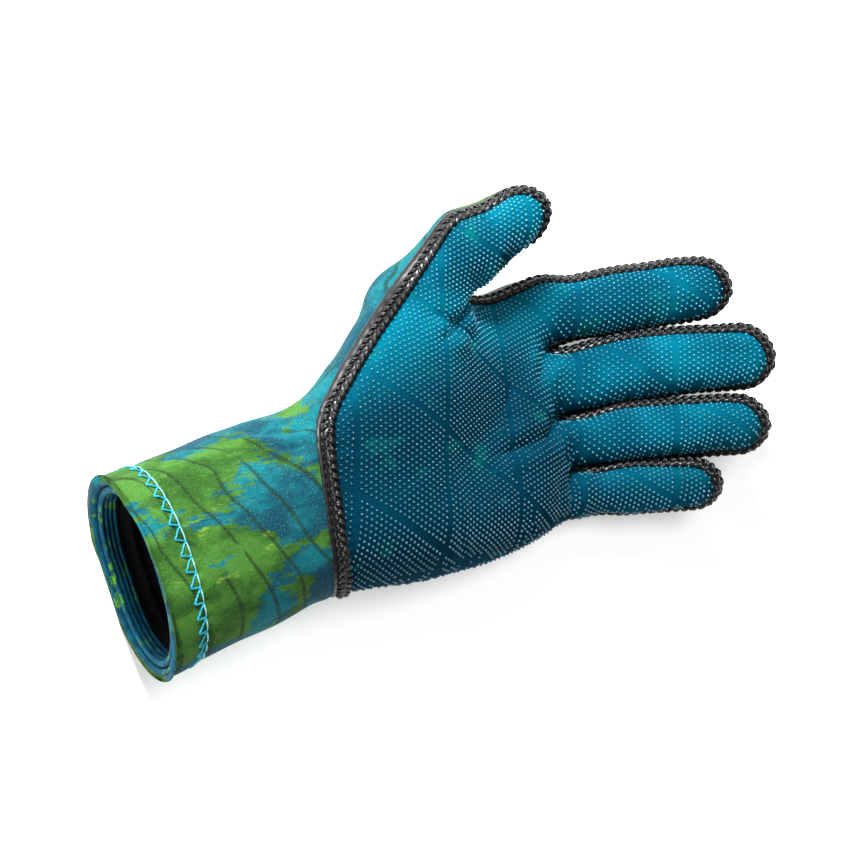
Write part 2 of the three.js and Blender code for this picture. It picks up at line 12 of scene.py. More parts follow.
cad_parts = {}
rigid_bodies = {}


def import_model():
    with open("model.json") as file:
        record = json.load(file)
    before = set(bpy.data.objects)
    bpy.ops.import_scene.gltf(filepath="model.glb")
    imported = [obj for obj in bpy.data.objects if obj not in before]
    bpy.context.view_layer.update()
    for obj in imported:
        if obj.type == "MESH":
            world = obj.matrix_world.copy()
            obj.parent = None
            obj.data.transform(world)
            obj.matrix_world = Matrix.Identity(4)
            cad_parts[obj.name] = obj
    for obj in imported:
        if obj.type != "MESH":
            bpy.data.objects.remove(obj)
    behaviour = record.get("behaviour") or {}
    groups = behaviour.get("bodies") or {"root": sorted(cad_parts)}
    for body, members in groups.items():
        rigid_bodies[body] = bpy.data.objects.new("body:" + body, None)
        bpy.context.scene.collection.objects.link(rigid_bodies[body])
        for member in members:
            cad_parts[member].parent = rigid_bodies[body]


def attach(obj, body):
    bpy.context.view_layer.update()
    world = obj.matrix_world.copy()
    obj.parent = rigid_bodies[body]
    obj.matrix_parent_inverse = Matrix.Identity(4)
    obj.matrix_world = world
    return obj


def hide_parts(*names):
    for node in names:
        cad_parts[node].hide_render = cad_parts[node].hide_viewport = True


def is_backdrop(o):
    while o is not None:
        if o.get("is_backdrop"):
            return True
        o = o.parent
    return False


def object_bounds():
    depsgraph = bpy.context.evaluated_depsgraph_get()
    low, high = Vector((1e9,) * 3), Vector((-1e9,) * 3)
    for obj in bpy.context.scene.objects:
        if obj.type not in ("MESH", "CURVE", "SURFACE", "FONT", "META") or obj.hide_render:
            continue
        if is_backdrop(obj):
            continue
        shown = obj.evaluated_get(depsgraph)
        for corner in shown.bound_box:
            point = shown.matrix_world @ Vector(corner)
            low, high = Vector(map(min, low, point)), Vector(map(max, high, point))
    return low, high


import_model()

bl_info = {
    "name": "Neoprene diving glove",
    "version": (1, 0, 0),
    "blender": (4, 5, 0),
    "location": "View3D > Sidebar > Glove",
    "description": "Dresses a left-hand diving glove with a dotted palm, a printed back and raised seams",
    "category": "Object",
}

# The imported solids' box, before any piece is added.
CAD_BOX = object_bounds()

# All shapes below are worked out in millimetres, in the frame of the hand, and go to the scene in metres.
MM = 0.001
# Middle of the underside of the glove's box, in the frame of the hand.
ORIGIN = np.array([57.514, 18.444, 0.0])

# ---------------------------------------------------------------- sizes of the hand
CUFF_LENGTH = 83.2
MOUTH_WIDTH = 76
MOUTH_DEPTH = 61
WRIST_WIDTH = 71
WRIST_DEPTH = 50
WRIST_LIFT = 3
REST_FLAT = 1.2
PALM_LENGTH = 114
HEEL_WIDTH = 84
HEEL_DEPTH = 46
PALM_WIDTH = 93
PALM_DEPTH = 37
KNUCKLE_WIDTH = 93
KNUCKLE_DEPTH = 29
FACING_LENGTH = 15
FACING_CLEARANCE = 0.3
EDGE_ROLL = 1.2
# Over the last stretch before the mouth's edge the sheet turns in, and by how much.
EDGE_TURN = 1.5
EDGE_DROP = 1.44
THUMB_ROOT_ALONG = 48
THUMB_CROTCH_ALONG = 80
THUMB_ROOT = np.array([64.5, 62, 27])
THUMB_CROTCH = np.array([81, 49, 20])
WEB_REACH = 5
DIP_REACH = 15
PULL_COLUMNS = 9
PULL_ROWS = 3.2
SIDE_EXTRA = 0.045

# Cells across one digit on each of its faces, and rows along each stretch.
DIGIT_CELLS = 6
CUFF_ROWS = 7
HEEL_ROWS = 4
WEB_ROWS = 4
DIGIT_ROWS = 6
DOME_ROWS = 3


def table(columns, *rows):
    """Rows of a table as dictionaries with the named columns."""
    names = columns.split()
    return [dict(zip(names, row)) for row in rows]


# Sections of the hollow body. along is a share of the cuff's length below the wrist and of the palm's above
# it, shift and lift are shares of the wrist's width and lift, and the rest are millimetres and degrees.
BODY = table(
    "along shift width depth lift power radial ulnar slant lean",
    (-1, -0.09, MOUTH_WIDTH, MOUTH_DEPTH, 0, 2.1, 40, 14, 0, -1.1),
    (-0.45, -0.045, MOUTH_WIDTH * 0.96, MOUTH_DEPTH * 0.95, 0.1, 2.1, 48, 14, 0, 0),
    (0, -0.02, WRIST_WIDTH, WRIST_DEPTH, 1, 2.1, 63, 18, 9, -18),
    (0.3, -0.02, HEEL_WIDTH, HEEL_DEPTH, 0.4, 2.3, 46, 24, 6, -12),
    (0.68, 0.03, PALM_WIDTH, PALM_DEPTH, 0, 2.4, 26, 26, 6, 0),
    (1, 0.075, KNUCKLE_WIDTH, KNUCKLE_DEPTH, 0, 2.4, 24, 24, 8, 0),
)
for body_row in BODY:
    body_row["x"] = body_row["along"] * (CUFF_LENGTH if body_row["along"] < 0 else PALM_LENGTH)

# Mounds and hollows of the palm: along and reach are shares of its length, across and spread of half its
# width.
MOUNDS = table(
    "along across reach spread height",
    (0.28, 0.5, 0.3, 0.5, 0.2),
    (0.2, -0.55, 0.32, 0.45, 0.06),
    (0.62, 0.05, 0.2, 0.45, -0.17),
)

# Digits: lengths in millimetres, angles in degrees at the root, then how much each changes to the tip.
THUMB = table(
    "name length width depth yaw yaw_bend pitch curl twist unwind",
    ("thumb", 58.5, 29, 27, 34, -34, 17, -2, 54, -40),
)[0]
FINGERS = table(
    "name across length width depth yaw yaw_bend pitch curl twist unwind",
    ("index", 0.75, 74.5, 22.4, 22, -9, -2, 8, 10, 24, 0),
    ("middle", 0.19, 86, 23.4, 22.5, -10, -3, 9, 10, 24, 0),
    ("ring", -0.325, 78.5, 21.8, 21.5, -12, -2, 9, 10, 26, 0),
    ("little", -0.785, 56.5, 20.4, 20, -14, 1, 8, 10, 28, 0),
)
FINGER_SECTIONS = table(
    "along width depth",
    (0, 1, 1.04), (0.22, 0.98, 1.02), (0.45, 1, 0.98), (0.62, 0.98, 0.98), (0.8, 0.96, 0.94), (1, 0.9, 0.86),
)
THUMB_SECTIONS = table(
    "along width depth",
    (0, 1.62, 1.2), (0.25, 1.26, 1.1), (0.5, 0.95, 1), (0.75, 0.79, 0.9), (1, 0.7, 0.8),
)

# Folds pressed into the sheets: a line of points on the glove in its own frame, and how wide and how deep the
# fold is, in millimetres.
FOLDS = table(
    "line width depth",
    ([(-2, 33, 42), (6.8, 30, 40.4), (14.6, 23.2, 35.6), (19, 16, 32)], 3.0, 1.7),
    ([(26, 35, 31), (17.8, 30.5, 34.3), (8.9, 24.4, 39.1), (0.6, 22, 42.6)], 2.4, 2.2),
    ([(40, 53, 46), (34.9, 43.7, 41.1), (32, 35, 33)], 2.0, 2.0),
    ([(28, 53, 47), (27, 47, 44), (26, 41, 40)], 2.6, 0.9),
    ([(50, -18, 22), (38, -25.5, 27), (25.9, -25.5, 31.1), (12.5, -25.6, 32.8)], 2.8, 2.3),
    ([(55, 7, 21), (52.1, 4.1, 21.7), (47.5, -0.2, 24.9), (42.7, -3.9, 27)], 2.2, 2.2),
    ([(50, -38, 18), (47.1, -40.9, 20), (43, -49.9, 22.7), (41.5, -57, 20)], 1.8, 1.9),
    ([(54, -40, 17), (51, -43, 19), (46, -51, 22), (45, -57, 20)], 1.6, 1.1),
    ([(33, 6, 29), (28, -6, 30), (16, -14, 33)], 4.5, 0.8),
    ([(-88, 18, 34), (-81.4, 12.3, 42), (-73.1, 8.2, 47.5), (-60.2, 8.4, 50.7)], 3.4, 1.5),
    ([(-86, 6, 46), (-75, 2.2, 51), (-62.4, 0, 53.1)], 3.0, 1.1),
    ([(-92, 10, 46), (-84, 2, 52), (-74, -5, 54)], 4.0, 0.9),
    ([(-60, 12, 49), (-52, 9, 51), (-46, 4, 52)], 1.5, 1.0),
    ([(-63, -2, 53), (-55, -4, 53), (-48, -8, 52)], 1.4, 0.7),
    ([(-70, -30, 49), (-60, -34, 45), (-52, -40, 38)], 4.2, 0.9),
    ([(-100, -36, 46), (-85, -42, 39), (-70, -46, 32)], 5.0, 0.7),
    ([(-110, 22, 30), (-95, 26, 28), (-80, 27, 26)], 5.0, 0.8),
    ([(92, 22, 31), (89, 15, 35), (87, 8, 30)], 3.0, 0.5),
    ([(98, -2, 36), (96, -9, 38), (94, -16, 33)], 3.0, 0.5),
    ([(88, -24, 34), (86, -32, 36), (85, -39, 31)], 3.0, 0.5),
    ([(74, -48, 30), (72, -56, 31), (71, -63, 26)], 2.6, 0.5),
)

# Where the worn glove's form departs from the even one above: a place in the glove's frame, how far it is
# moved and how far round it the sheets follow, in millimetres.
NUDGES = table(
    "place shift reach",
    ((-4.6, 49.7, 24.2), (-1.8, 2.3, -0.9), 11),
    ((-14, 43, 25), (-2.4, 3.0, -1.2), 11),
    ((-27, 33, 30), (-1.8, 2.6, -0.9), 11),
    ((-42, 24, 34), (-1.3, 2.4, -0.7), 12),
    ((35.2, 69.6, 44.4), (0.3, -2.3, 0.2), 9),
    ((50.0, 28.0, 9.0), (1.2, 4.4, 0.8), 12),
    ((59.5, 9.1, 16.0), (-2.4, -3.0, -1.0), 13),
    ((55.4, -15.7, 17.0), (-3.2, -3.8, -1.4), 13),
    ((51.9, -38.8, 17.0), (-2.6, -1.8, -1.1), 12),
)

# How much fuller each finger is on its little-finger side and on its thumb side, in millimetres.
FULLER = table("region ulnar radial", (1, 1.5, 0.2), (2, 2.3, 0.0), (3, 2.3, -0.7), (4, 0.4, -0.5))

# How a raised seam ends: at full size, narrowed to a point in a crotch, or butted against another seam.
# short is how far before the run's end it stops, and scale is its size there, which is full after reach.
FULL_END = {"short": 0.0, "reach": 0.1, "scale": 1.0}
POINTED_END = {"short": 1.0, "reach": 8.0, "scale": 0.6}
BUTTED_END = {"short": 1.2, "reach": 0.1, "scale": 1.0}
# How many times the usual width the smooth strip has along a seam.
STRIP_SHARES = {"wrist": 1.0, "thumb": 1.5, "index": 1.0, "middle": 1.0, "ring": 1.0, "little": 1.1}
SEAM_ENDS = {
    "wrist": (FULL_END, FULL_END),
    "thumb": (FULL_END, POINTED_END),
    "index": (POINTED_END, POINTED_END),
    "middle": (POINTED_END, POINTED_END),
    "ring": (POINTED_END, POINTED_END),
    "little": (POINTED_END, BUTTED_END),
}


def linear(code):
    """A colour given as sRGB hex, as the linear values that Blender's shaders take."""
    channels = [int(code[k:k + 2], 16) / 255 for k in (1, 3, 5)]
    return tuple(c / 12.92 if c <= 0.04045 else ((c + 0.055) / 1.055) ** 2.4 for c in channels)


def length_setting(name, description, millimetres):
    """A length of the glove that the panel shows, given in millimetres."""
    return FloatProperty(name=name, description=description, default=millimetres * MM, unit="LENGTH",
                         precision=5)


def colour_setting(name, description, code):
    """A colour of the glove that the panel shows, given as sRGB hex."""
    return FloatVectorProperty(name=name, description=description, default=linear(code), size=3,
                               subtype="COLOR", min=0, max=1)


class GloveSizes(bpy.types.PropertyGroup):
    """Sizes of the glove's sheets, dots and threads."""

    sheet: length_setting("Sheet", "Thickness of the neoprene sheets", 3.0)
    dot_pitch: length_setting("Dot pitch", "Distance between neighbouring grip dots", 2.08)
    dot_width: length_setting("Dot width", "Diameter of one grip dot", 1.14)
    dot_height: length_setting("Dot height", "Height of one grip dot", 0.66)
    seam_width: length_setting("Seam width", "Width of the overlocked ridge", 5.0)
    seam_height: length_setting("Seam height", "Height of the ridge's core under the thread", 1.1)
    seam_pitch: length_setting("Seam stitch", "Length of one overlock stitch along the seam", 3.3)
    seam_thread: length_setting("Seam thread", "Diameter of one strand of the overlock thread", 0.82)
    strip_width: length_setting("Edge strip", "Width of the smooth strip on the seam's back side", 2.0)
    hem_width: length_setting("Hem width", "Distance of the cover stitch from the mouth", 11.5)
    hem_stitch: length_setting("Hem stitch", "Length of one zigzag of the cover stitch", 6.0)
    hem_reach: length_setting("Zigzag width", "Width of the cover stitch's zigzag", 4.1)
    hem_thread: length_setting("Hem thread", "Diameter of the cover stitch's thread", 0.78)
    channel_rows: IntProperty(name="Channel rows", description="Rows of dots between two bare channels",
                              default=21, min=3, max=40)


class GloveColours(bpy.types.PropertyGroup):
    """Colours of the glove's fabrics and threads, with painted shade for the palm and its dots, and of the
    floor under it.
    """

    palm: colour_setting("Palm", "Jersey of the palm sheet", "#006f84")
    palm_deep: colour_setting("Palm, deep", "Darker dye in the palm jersey", "#004d62")
    # Painted shade: the darkest colour, laid over the palm's hollow and the heel's outer side where they lie
    # in shade.
    palm_painted_shade: colour_setting("Palm, darkest", "Darkest dye, over the hollow and the heel", "#002c3e")
    palm_tint: colour_setting("Palm, tint", "Greenish touches in the palm jersey", "#0a8a72")
    dots: colour_setting("Dots", "Rubber of the grip dots", "#0b93aa")
    # Both a darker random tone of the dots' rubber and their painted shade over the palm's hollow and heel.
    dots_deep_and_shade: colour_setting("Dots, deep", "Rubber of the grip dots over the darkest dye", "#025064")
    print_green: colour_setting("Print, green", "Main green of the print", "#4b7c36")
    print_shade: colour_setting("Print, shade", "Darker green of the print", "#2c5422")
    print_light: colour_setting("Print, light", "Yellow-green touches of the print", "#7f9f42")
    print_teal: colour_setting("Print, teal", "Teal patches of the print", "#08707c")
    print_blue: colour_setting("Print, blue", "Deeper blue in the teal patches", "#06465c")
    print_line: colour_setting("Print, line", "Thin ripple lines of the print", "#1d2d25")
    facing: colour_setting("Facing", "Knit of the facing inside the mouth", "#0b6078")
    facing_fleck: colour_setting("Facing, fleck", "Green flecks of the facing", "#5f9a26")
    lining: colour_setting("Lining", "Jersey inside the glove", "#20242a")
    lining_bloom: colour_setting("Lining, bloom", "Lighter fibres of the lining", "#3f454d")
    cut_edge: colour_setting("Folded edge", "Thin line where the cloth turns in at the mouth", "#2b1210")
    thread: colour_setting("Seam thread", "Overlock thread", "#0d0e10")
    strip: colour_setting("Edge strip", "Smooth strip beside the seams", "#1b1c20")
    stitch: colour_setting("Cover stitch", "Zigzag thread round the mouth", "#18b7cf")
    needle: colour_setting("Needle thread", "Straight thread of the cover stitch", "#a9dfe6")
    floor: colour_setting("Floor", "Ground under the glove", "#fbfbfb")
    floor_grain: colour_setting("Floor, grain", "Faint darker grain of the ground", "#ededed")


# ---------------------------------------------------------------- the hand's net of points


def between(rows, key, at, column):
    """A smooth value between the rows of a table: a cubic through them in the named column."""
    last = len(rows) - 1
    i = 0
    while i < last - 1 and at > rows[i + 1][key]:
        i += 1
    a, b = rows[i], rows[i + 1]
    span = b[key] - a[key]
    t = min(max((at - a[key]) / span, 0), 1)

    def slope(p, q):
        return (q[column] - p[column]) / (q[key] - p[key])

    mid = slope(a, b)
    left = (slope(rows[i - 1], a) + mid) / 2 if i > 0 else mid
    right = (mid + slope(b, rows[i + 2])) / 2 if i < last - 1 else mid
    return (
        (2 * t**3 - 3 * t**2 + 1) * a[column] + (t**3 - 2 * t**2 + t) * span * left
        + (3 * t**2 - 2 * t**3) * b[column] + (t**3 - t**2) * span * right
    )


def bell(value):
    """1 at 0, and less and less away from it."""
    return np.exp(-np.square(value))


def unit(vectors):
    """Vectors of length one, for one vector or an array of them."""
    return vectors / np.maximum(np.linalg.norm(vectors, axis=-1, keepdims=True), 1e-12)


def path_lengths(path):
    """How far along a path each of its points is."""
    return np.concatenate([[0], np.cumsum(np.linalg.norm(np.diff(path, axis=0), axis=1))])


def on_path(at, lengths, values):
    """Points, or other rows of three values, at lengths along a path."""
    return np.stack([np.interp(at, lengths, values[:, k]) for k in range(3)], 1)


def eased(share):
    """A share from 0 to 1 that starts and ends gently."""
    return share * share * (3 - 2 * share)


def edge_drop(distance):
    """How far the sheet has turned in at a distance from the mouth's edge."""
    turn = np.clip(1 - distance / EDGE_TURN, 0, 1)
    return EDGE_DROP * (1 - np.sqrt(1 - turn * turn))


def ring_points(x, angles):
    """Points of the body's outer face at the section x, at angles from the thumb's side."""
    columns = ("shift", "width", "depth", "lift", "power", "slant", "lean")
    section = {column: between(BODY, "x", x, column) for column in columns}
    cosines, sines = np.cos(angles), np.sin(angles)
    across = np.sign(cosines) * np.abs(cosines) ** (2 / section["power"])
    up = np.sign(sines) * np.abs(sines) ** (2 / section["power"])
    y = across * section["width"] / 2
    z = section["lift"] * WRIST_LIFT - REST_FLAT + (1 + up) * section["depth"] / 2
    for mound in MOUNDS:
        along = bell((x / PALM_LENGTH - mound["along"]) / mound["reach"])
        z += mound["height"] * section["depth"] * np.maximum(up, 0) * along * bell(
            (across - mound["across"]) / mound["spread"])
    slant = y * math.tan(math.radians(section["slant"]))
    lean = up * (section["depth"] / 2) * math.tan(math.radians(section["lean"]))
    return np.stack([x + slant + lean, section["shift"] * WRIST_WIDTH + y, np.maximum(z, 0)], 1)


def column_shares():
    """Columns of the body as shares of a half ring: one finger's worth after the other."""
    span = sum(finger["width"] for finger in FINGERS)
    shares, start = [], 0.0
    for f, finger in enumerate(FINGERS):
        outer = SIDE_EXTRA if f in (0, len(FINGERS) - 1) else 0
        end = start + finger["width"] / span * (1 - 2 * SIDE_EXTRA) + outer
        shares += [start + (end - start) * m / DIGIT_CELLS for m in range(DIGIT_CELLS)]
        start = end
    return np.array(shares + [1.0])


def half_ring(x, side, shares, steps=96):
    """One sheet's half of the section x, with its points spaced by length. side is 1 on the palm."""
    start = between(BODY, "x", x, "radial")
    ulnar = between(BODY, "x", x, "ulnar")
    end = 180 + ulnar if side > 0 else ulnar - 180
    dense = ring_points(x, np.radians(np.linspace(start, end, steps + 1)))
    travelled = path_lengths(dense)
    return on_path(shares * travelled[-1], travelled, dense)


def spine_at(digit, root, share, steps=24):
    """A digit's spine and frame at a share of its length."""

    def heading(s):
        yaw = math.radians(digit["yaw"] + digit["yaw_bend"] * s)
        pitch = math.radians(digit["pitch"] + digit["curl"] * s)
        return np.array([math.cos(pitch) * math.cos(yaw), math.cos(pitch) * math.sin(yaw), math.sin(pitch)])

    at = root.astype(float).copy()
    for k in range(steps):
        at += heading((k + 0.5) / steps * share) * digit["length"] * share / steps
    ahead = heading(share)
    side = unit(np.cross([0, 0, 1], ahead))
    return at, side, np.cross(ahead, side)


def digit_ring(digit, root, share, scale, side_sign):
    """A ring of a digit on one sheet, from its thumb-side seam to its other seam."""
    at, side, up = spine_at(digit, root, share)
    sections = THUMB_SECTIONS if digit is THUMB else FINGER_SECTIONS
    width = between(sections, "along", share, "width") * digit["width"] * scale
    depth = between(sections, "along", share, "depth") * digit["depth"] * scale
    turn = math.radians(digit["twist"] + digit["unwind"] * share)
    angles = turn + side_sign * np.pi * np.arange(DIGIT_CELLS + 1) / DIGIT_CELLS
    return at + np.outer(np.cos(angles) * width / 2, side) + np.outer(np.sin(angles) * depth / 2, up)


class HandNet:
    """The glove's outer face as one net of quads, each with the part of the glove that it belongs to."""

    SHEETS = {"palm": 1, "back": -1}

    def __init__(self):
        self.points, self.faces, self.regions = [], [], []
        self.lay_rows()
        self.lay_body()
        self.lay_digits()
        self.settle()
        self.points = np.array(self.points)

    def add(self, point):
        """Adds a point and gives its number."""
        self.points.append(np.array(point, float))
        return len(self.points) - 1

    def quad(self, region, side, a, b, c, d):
        """Adds a quad that faces out on its sheet."""
        self.faces.append((a, b, c, d) if side > 0 else (d, c, b, a))
        self.regions.append(region)

    def lay_rows(self):
        """Rows of the body from the mouth to the fingers' roots, closer where the digits start."""
        def spread(start, end, count):
            return [start + (end - start) * k / count for k in range(count)]

        rows = [-CUFF_LENGTH, -CUFF_LENGTH + EDGE_ROLL, -CUFF_LENGTH + FACING_LENGTH / 2]
        rows += spread(-CUFF_LENGTH + FACING_LENGTH, 0, CUFF_ROWS - 1)
        self.wrist = len(rows)
        rows += spread(0, THUMB_ROOT_ALONG, HEEL_ROWS)
        self.thumb_first = len(rows)
        rows += spread(THUMB_ROOT_ALONG, THUMB_CROTCH_ALONG, DIGIT_CELLS)
        self.thumb_last = len(rows)
        rows += spread(THUMB_CROTCH_ALONG, PALM_LENGTH - WEB_REACH, WEB_ROWS - 1)
        rows += [PALM_LENGTH - WEB_REACH, PALM_LENGTH]
        self.crotch = len(rows) - 1
        self.rows = rows

    def lay_body(self):
        """Cuff and palm: half rings drawn on to the digits' roots, joined at the seams."""
        shares = column_shares()
        self.columns = len(shares) - 1
        places = {n: [half_ring(x, s, shares) for x in self.rows] for n, s in self.SHEETS.items()}
        turn = math.tan(math.radians(between(BODY, "x", PALM_LENGTH, "slant")))
        shift = between(BODY, "x", PALM_LENGTH, "shift") * WRIST_WIDTH
        self.roots = []
        for finger in FINGERS:
            y = finger["across"] * KNUCKLE_WIDTH / 2
            self.roots.append(np.array([PALM_LENGTH + y * turn, y + shift, KNUCKLE_DEPTH / 2 - REST_FLAT]))
        for name, side in self.SHEETS.items():
            row = places[name][self.crotch]
            rings = [digit_ring(finger, root, 0, 1, side) for finger, root in zip(FINGERS, self.roots)]
            for f, ring in enumerate(rings):
                row[f * DIGIT_CELLS:(f + 1) * DIGIT_CELLS + 1] = ring
            for f in range(1, len(FINGERS)):
                row[f * DIGIT_CELLS] = (rings[f - 1][-1] + rings[f][0]) / 2
        for f in range(1, len(FINGERS)):
            j = f * DIGIT_CELLS
            both = (places["palm"][self.crotch][j] + places["back"][self.crotch][j]) / 2
            places["palm"][self.crotch][j] = both
            places["back"][self.crotch][j] = both
        for name in self.SHEETS:
            for i in range(self.thumb_last, self.crotch):
                back = PALM_LENGTH - self.rows[i]
                share = max(0, 1 - back / DIP_REACH) ** 2
                target = places[name][self.crotch] - [back, 0, 0]
                places[name][i] += (target - places[name][i]) * share
        for name, side in self.SHEETS.items():
            ring = digit_ring(THUMB, THUMB_ROOT, 0, 1, side)
            ring[-1] = THUMB_CROTCH
            ring[-2] += (THUMB_CROTCH - ring[-2]) * 0.3
            pulls = [ring[m] - places[name][self.thumb_first + m][0] for m in range(DIGIT_CELLS + 1)]
            hold = eased(np.maximum(0, 1 - np.arange(self.columns + 1) / PULL_COLUMNS))
            for i in range(1, self.crotch):
                m = min(max(i - self.thumb_first, 0), DIGIT_CELLS)
                fade = bell((i - self.thumb_first - m) / PULL_ROWS)
                places[name][i] = places[name][i] + np.outer(hold * fade, pulls[m])
        self.ids = {"palm": [], "back": []}
        for i in range(len(self.rows)):
            palm = [self.add(point) for point in places["palm"][i]]
            back = []
            for j, point in enumerate(places["back"][i]):
                thumb_side = j == 0 and (i <= self.thumb_first or i >= self.thumb_last)
                crotch = i == self.crotch and j % DIGIT_CELLS == 0
                back.append(palm[j] if thumb_side or j == self.columns or crotch else self.add(point))
            self.ids["palm"].append(palm)
            self.ids["back"].append(back)
        for name, side in self.SHEETS.items():
            for i in range(self.crotch):
                near, far = self.ids[name][i], self.ids[name][i + 1]
                region = 0 if name == "palm" and i >= self.wrist else 10
                for j in range(self.columns):
                    self.quad(region, side, near[j], near[j + 1], far[j + 1], far[j])

    def lay_digits(self):
        """The four fingers on the body's last row, and the thumb on its hole in the side."""
        self.digits = []
        for f, finger in enumerate(FINGERS):
            first = f * DIGIT_CELLS
            roots = {n: self.ids[n][self.crotch][first:first + DIGIT_CELLS + 1] for n in self.SHEETS}
            self.digits.append(self.lay_digit(finger, self.roots[f], roots, 0, f + 1))
        sides = {n: self.ids[n][self.thumb_first:self.thumb_last + 1] for n in self.SHEETS}
        roots = {n: [row[0] for row in side] for n, side in sides.items()}
        self.thumb = self.lay_digit(THUMB, THUMB_ROOT, roots, 0.06, len(FINGERS) + 1)

    def lay_digit(self, digit, root, roots, first, region):
        """One digit's rings on both sheets, from its root to its round tip."""
        tip_round = digit["width"] * 0.5 / digit["length"]
        straight = 1 - tip_round
        stops = [(first + (straight - first) * k / DIGIT_ROWS, 1) for k in range(1, DIGIT_ROWS + 1)]
        for k in range(1, DOME_ROWS):
            angle = math.pi / 2 * k / DOME_ROWS
            stops.append((straight + tip_round * math.sin(angle), math.cos(angle)))
        rings = {"palm": [roots["palm"]], "back": [roots["back"]]}
        for share, scale in stops:
            palm = [self.add(point) for point in digit_ring(digit, root, share, scale, 1)]
            back = [palm[m] if m in (0, DIGIT_CELLS) else self.add(point)
                    for m, point in enumerate(digit_ring(digit, root, share, scale, -1))]
            rings["palm"].append(palm)
            rings["back"].append(back)
        tip = self.add(spine_at(digit, root, 1)[0])
        for name, side in self.SHEETS.items():
            place = region if name == "palm" else region + 10
            rows = rings[name]
            for near, far in zip(rows, rows[1:]):
                for m in range(DIGIT_CELLS):
                    self.quad(place, side, near[m], near[m + 1], far[m + 1], far[m])
            end = rows[-1]
            for m in range(DIGIT_CELLS):
                self.faces.append((end[m], end[m + 1], tip) if side > 0 else (tip, end[m + 1], end[m]))
                self.regions.append(place)
        return {"rings": rings, "tip": tip}

    def settle(self):
        """The web round the thumb's root settles into a smooth sheet, as do the dips between the fingers."""
        around = [set() for _ in self.points]
        for ids in self.faces:
            for a, b in zip(ids, ids[1:] + ids[:1]):
                around[a].add(b)
                around[b].add(a)
        ease = {}
        for name in self.SHEETS:
            for i in range(self.thumb_first - 4, self.crotch):
                m = min(max(i - self.thumb_first, 0), DIGIT_CELLS)
                for j in range(self.columns + 1):
                    near = bell((i - self.thumb_first - m) / 3) * max(0, 1 - j / 9)
                    dip = bell((self.crotch - 1 - i) / 1.5) * 0.35
                    ease[self.ids[name][i][j]] = min(0.6, near * 1.2 + dip)
            for ring, weight in zip(self.thumb["rings"][name], (0.6, 0.45, 0.2)):
                ease.update(dict.fromkeys(ring, weight))
            for digit in self.digits:
                ease.update(dict.fromkeys(digit["rings"][name][1], 0.15))
        points = np.array(self.points)
        for _ in range(14):
            moved = {}
            for p, weight in ease.items():
                moved[p] = points[p] + (points[list(around[p])].mean(0) - points[p]) * weight
            for p, place in moved.items():
                points[p] = place
        points[:, 2] = np.maximum(points[:, 2], 0)
        self.points = points

    def seam_runs(self):
        """Each seam's run of net points, from one end to the other."""
        palm = self.ids["palm"]

        def round_digit(digit):
            rings = digit["rings"]["palm"][1:]
            return [ring[0] for ring in rings] + [digit["tip"]] + [ring[-1] for ring in reversed(rings)]

        def side(start, end, j):
            return [row[j] for row in palm[start:end + 1]]

        def crotch(f):
            return [palm[self.crotch][f * DIGIT_CELLS]]

        runs = {"wrist": palm[self.wrist][::-1]}
        runs["thumb"] = side(self.wrist, self.thumb_first, 0) + round_digit(self.thumb)
        runs["thumb"].append(palm[self.thumb_last][0])
        for f, finger in enumerate(FINGERS):
            start = side(self.thumb_last, self.crotch, 0) if f == 0 else crotch(f)
            last = f == len(FINGERS) - 1
            end = side(self.wrist, self.crotch, self.columns)[::-1] if last else crotch(f + 1)
            runs[finger["name"]] = start + round_digit(self.digits[f]) + end
        return runs


# ---------------------------------------------------------------- meshes from arrays


def make_mesh(name, points, *face_groups, smooth=True):
    """A mesh in metres from points in millimetres and groups of faces with one number of corners each."""
    mesh = bpy.data.meshes.new(name)
    groups = [np.asarray(group, dtype=np.int32) for group in face_groups if len(group)]
    loops = np.concatenate([group.ravel() for group in groups])
    sizes = np.concatenate([np.full(len(group), group.shape[1], dtype=np.int32) for group in groups])
    starts = np.concatenate([[0], np.cumsum(sizes)[:-1]]).astype(np.int32)
    mesh.vertices.add(len(points))
    mesh.vertices.foreach_set("co", (np.asarray(points, dtype=np.float32) * MM).ravel())
    mesh.loops.add(len(loops))
    mesh.loops.foreach_set("vertex_index", loops)
    mesh.polygons.add(len(sizes))
    mesh.polygons.foreach_set("loop_start", starts)
    mesh.update(calc_edges=True)
    mesh.polygons.foreach_set("use_smooth", np.full(len(sizes), smooth))
    if mesh.validate():
        raise RuntimeError(f"the mesh of {name} had faces that Blender had to mend")
    return mesh


def paint(mesh, indices, *materials):
    """Gives the mesh its materials, and each face the index of one of them."""
    for material in materials:
        mesh.materials.append(material)
    mesh.polygons.foreach_set("material_index", np.asarray(indices, dtype=np.int32))


def place_piece(name, mesh, slot, *nodes):
    """Adds a piece of the glove to the scene, riding on its only body, in place of the named solids."""
    piece = bpy.data.objects.new(name, mesh)
    bpy.context.scene.collection.objects.link(piece)
    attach(piece, "root")
    if nodes:
        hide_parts(*nodes)
    return piece


def normals_of(points, faces):
    """Normals at the points of quads, weighted by area."""
    a, b, c, d = (points[faces[:, k]] for k in range(4))
    face_normals = np.cross(c - a, d - b)
    sums = np.zeros_like(points)
    for k in range(4):
        np.add.at(sums, faces[:, k], face_normals)
    return unit(sums)


def spokes(across, above, sides):
    """Ways out to the corners of a ring with so many sides, for each pair of ways across and above."""
    angles = 2 * np.pi * np.arange(sides) / sides
    return np.cos(angles)[:, None] * across[..., None, :] + np.sin(angles)[:, None] * above[..., None, :]


def quads_between(near, far):
    """Quads between rings of point numbers and the rings that follow them."""
    return np.stack([near, np.roll(near, -1, -1), np.roll(far, -1, -1), far], -1).reshape(-1, 4)


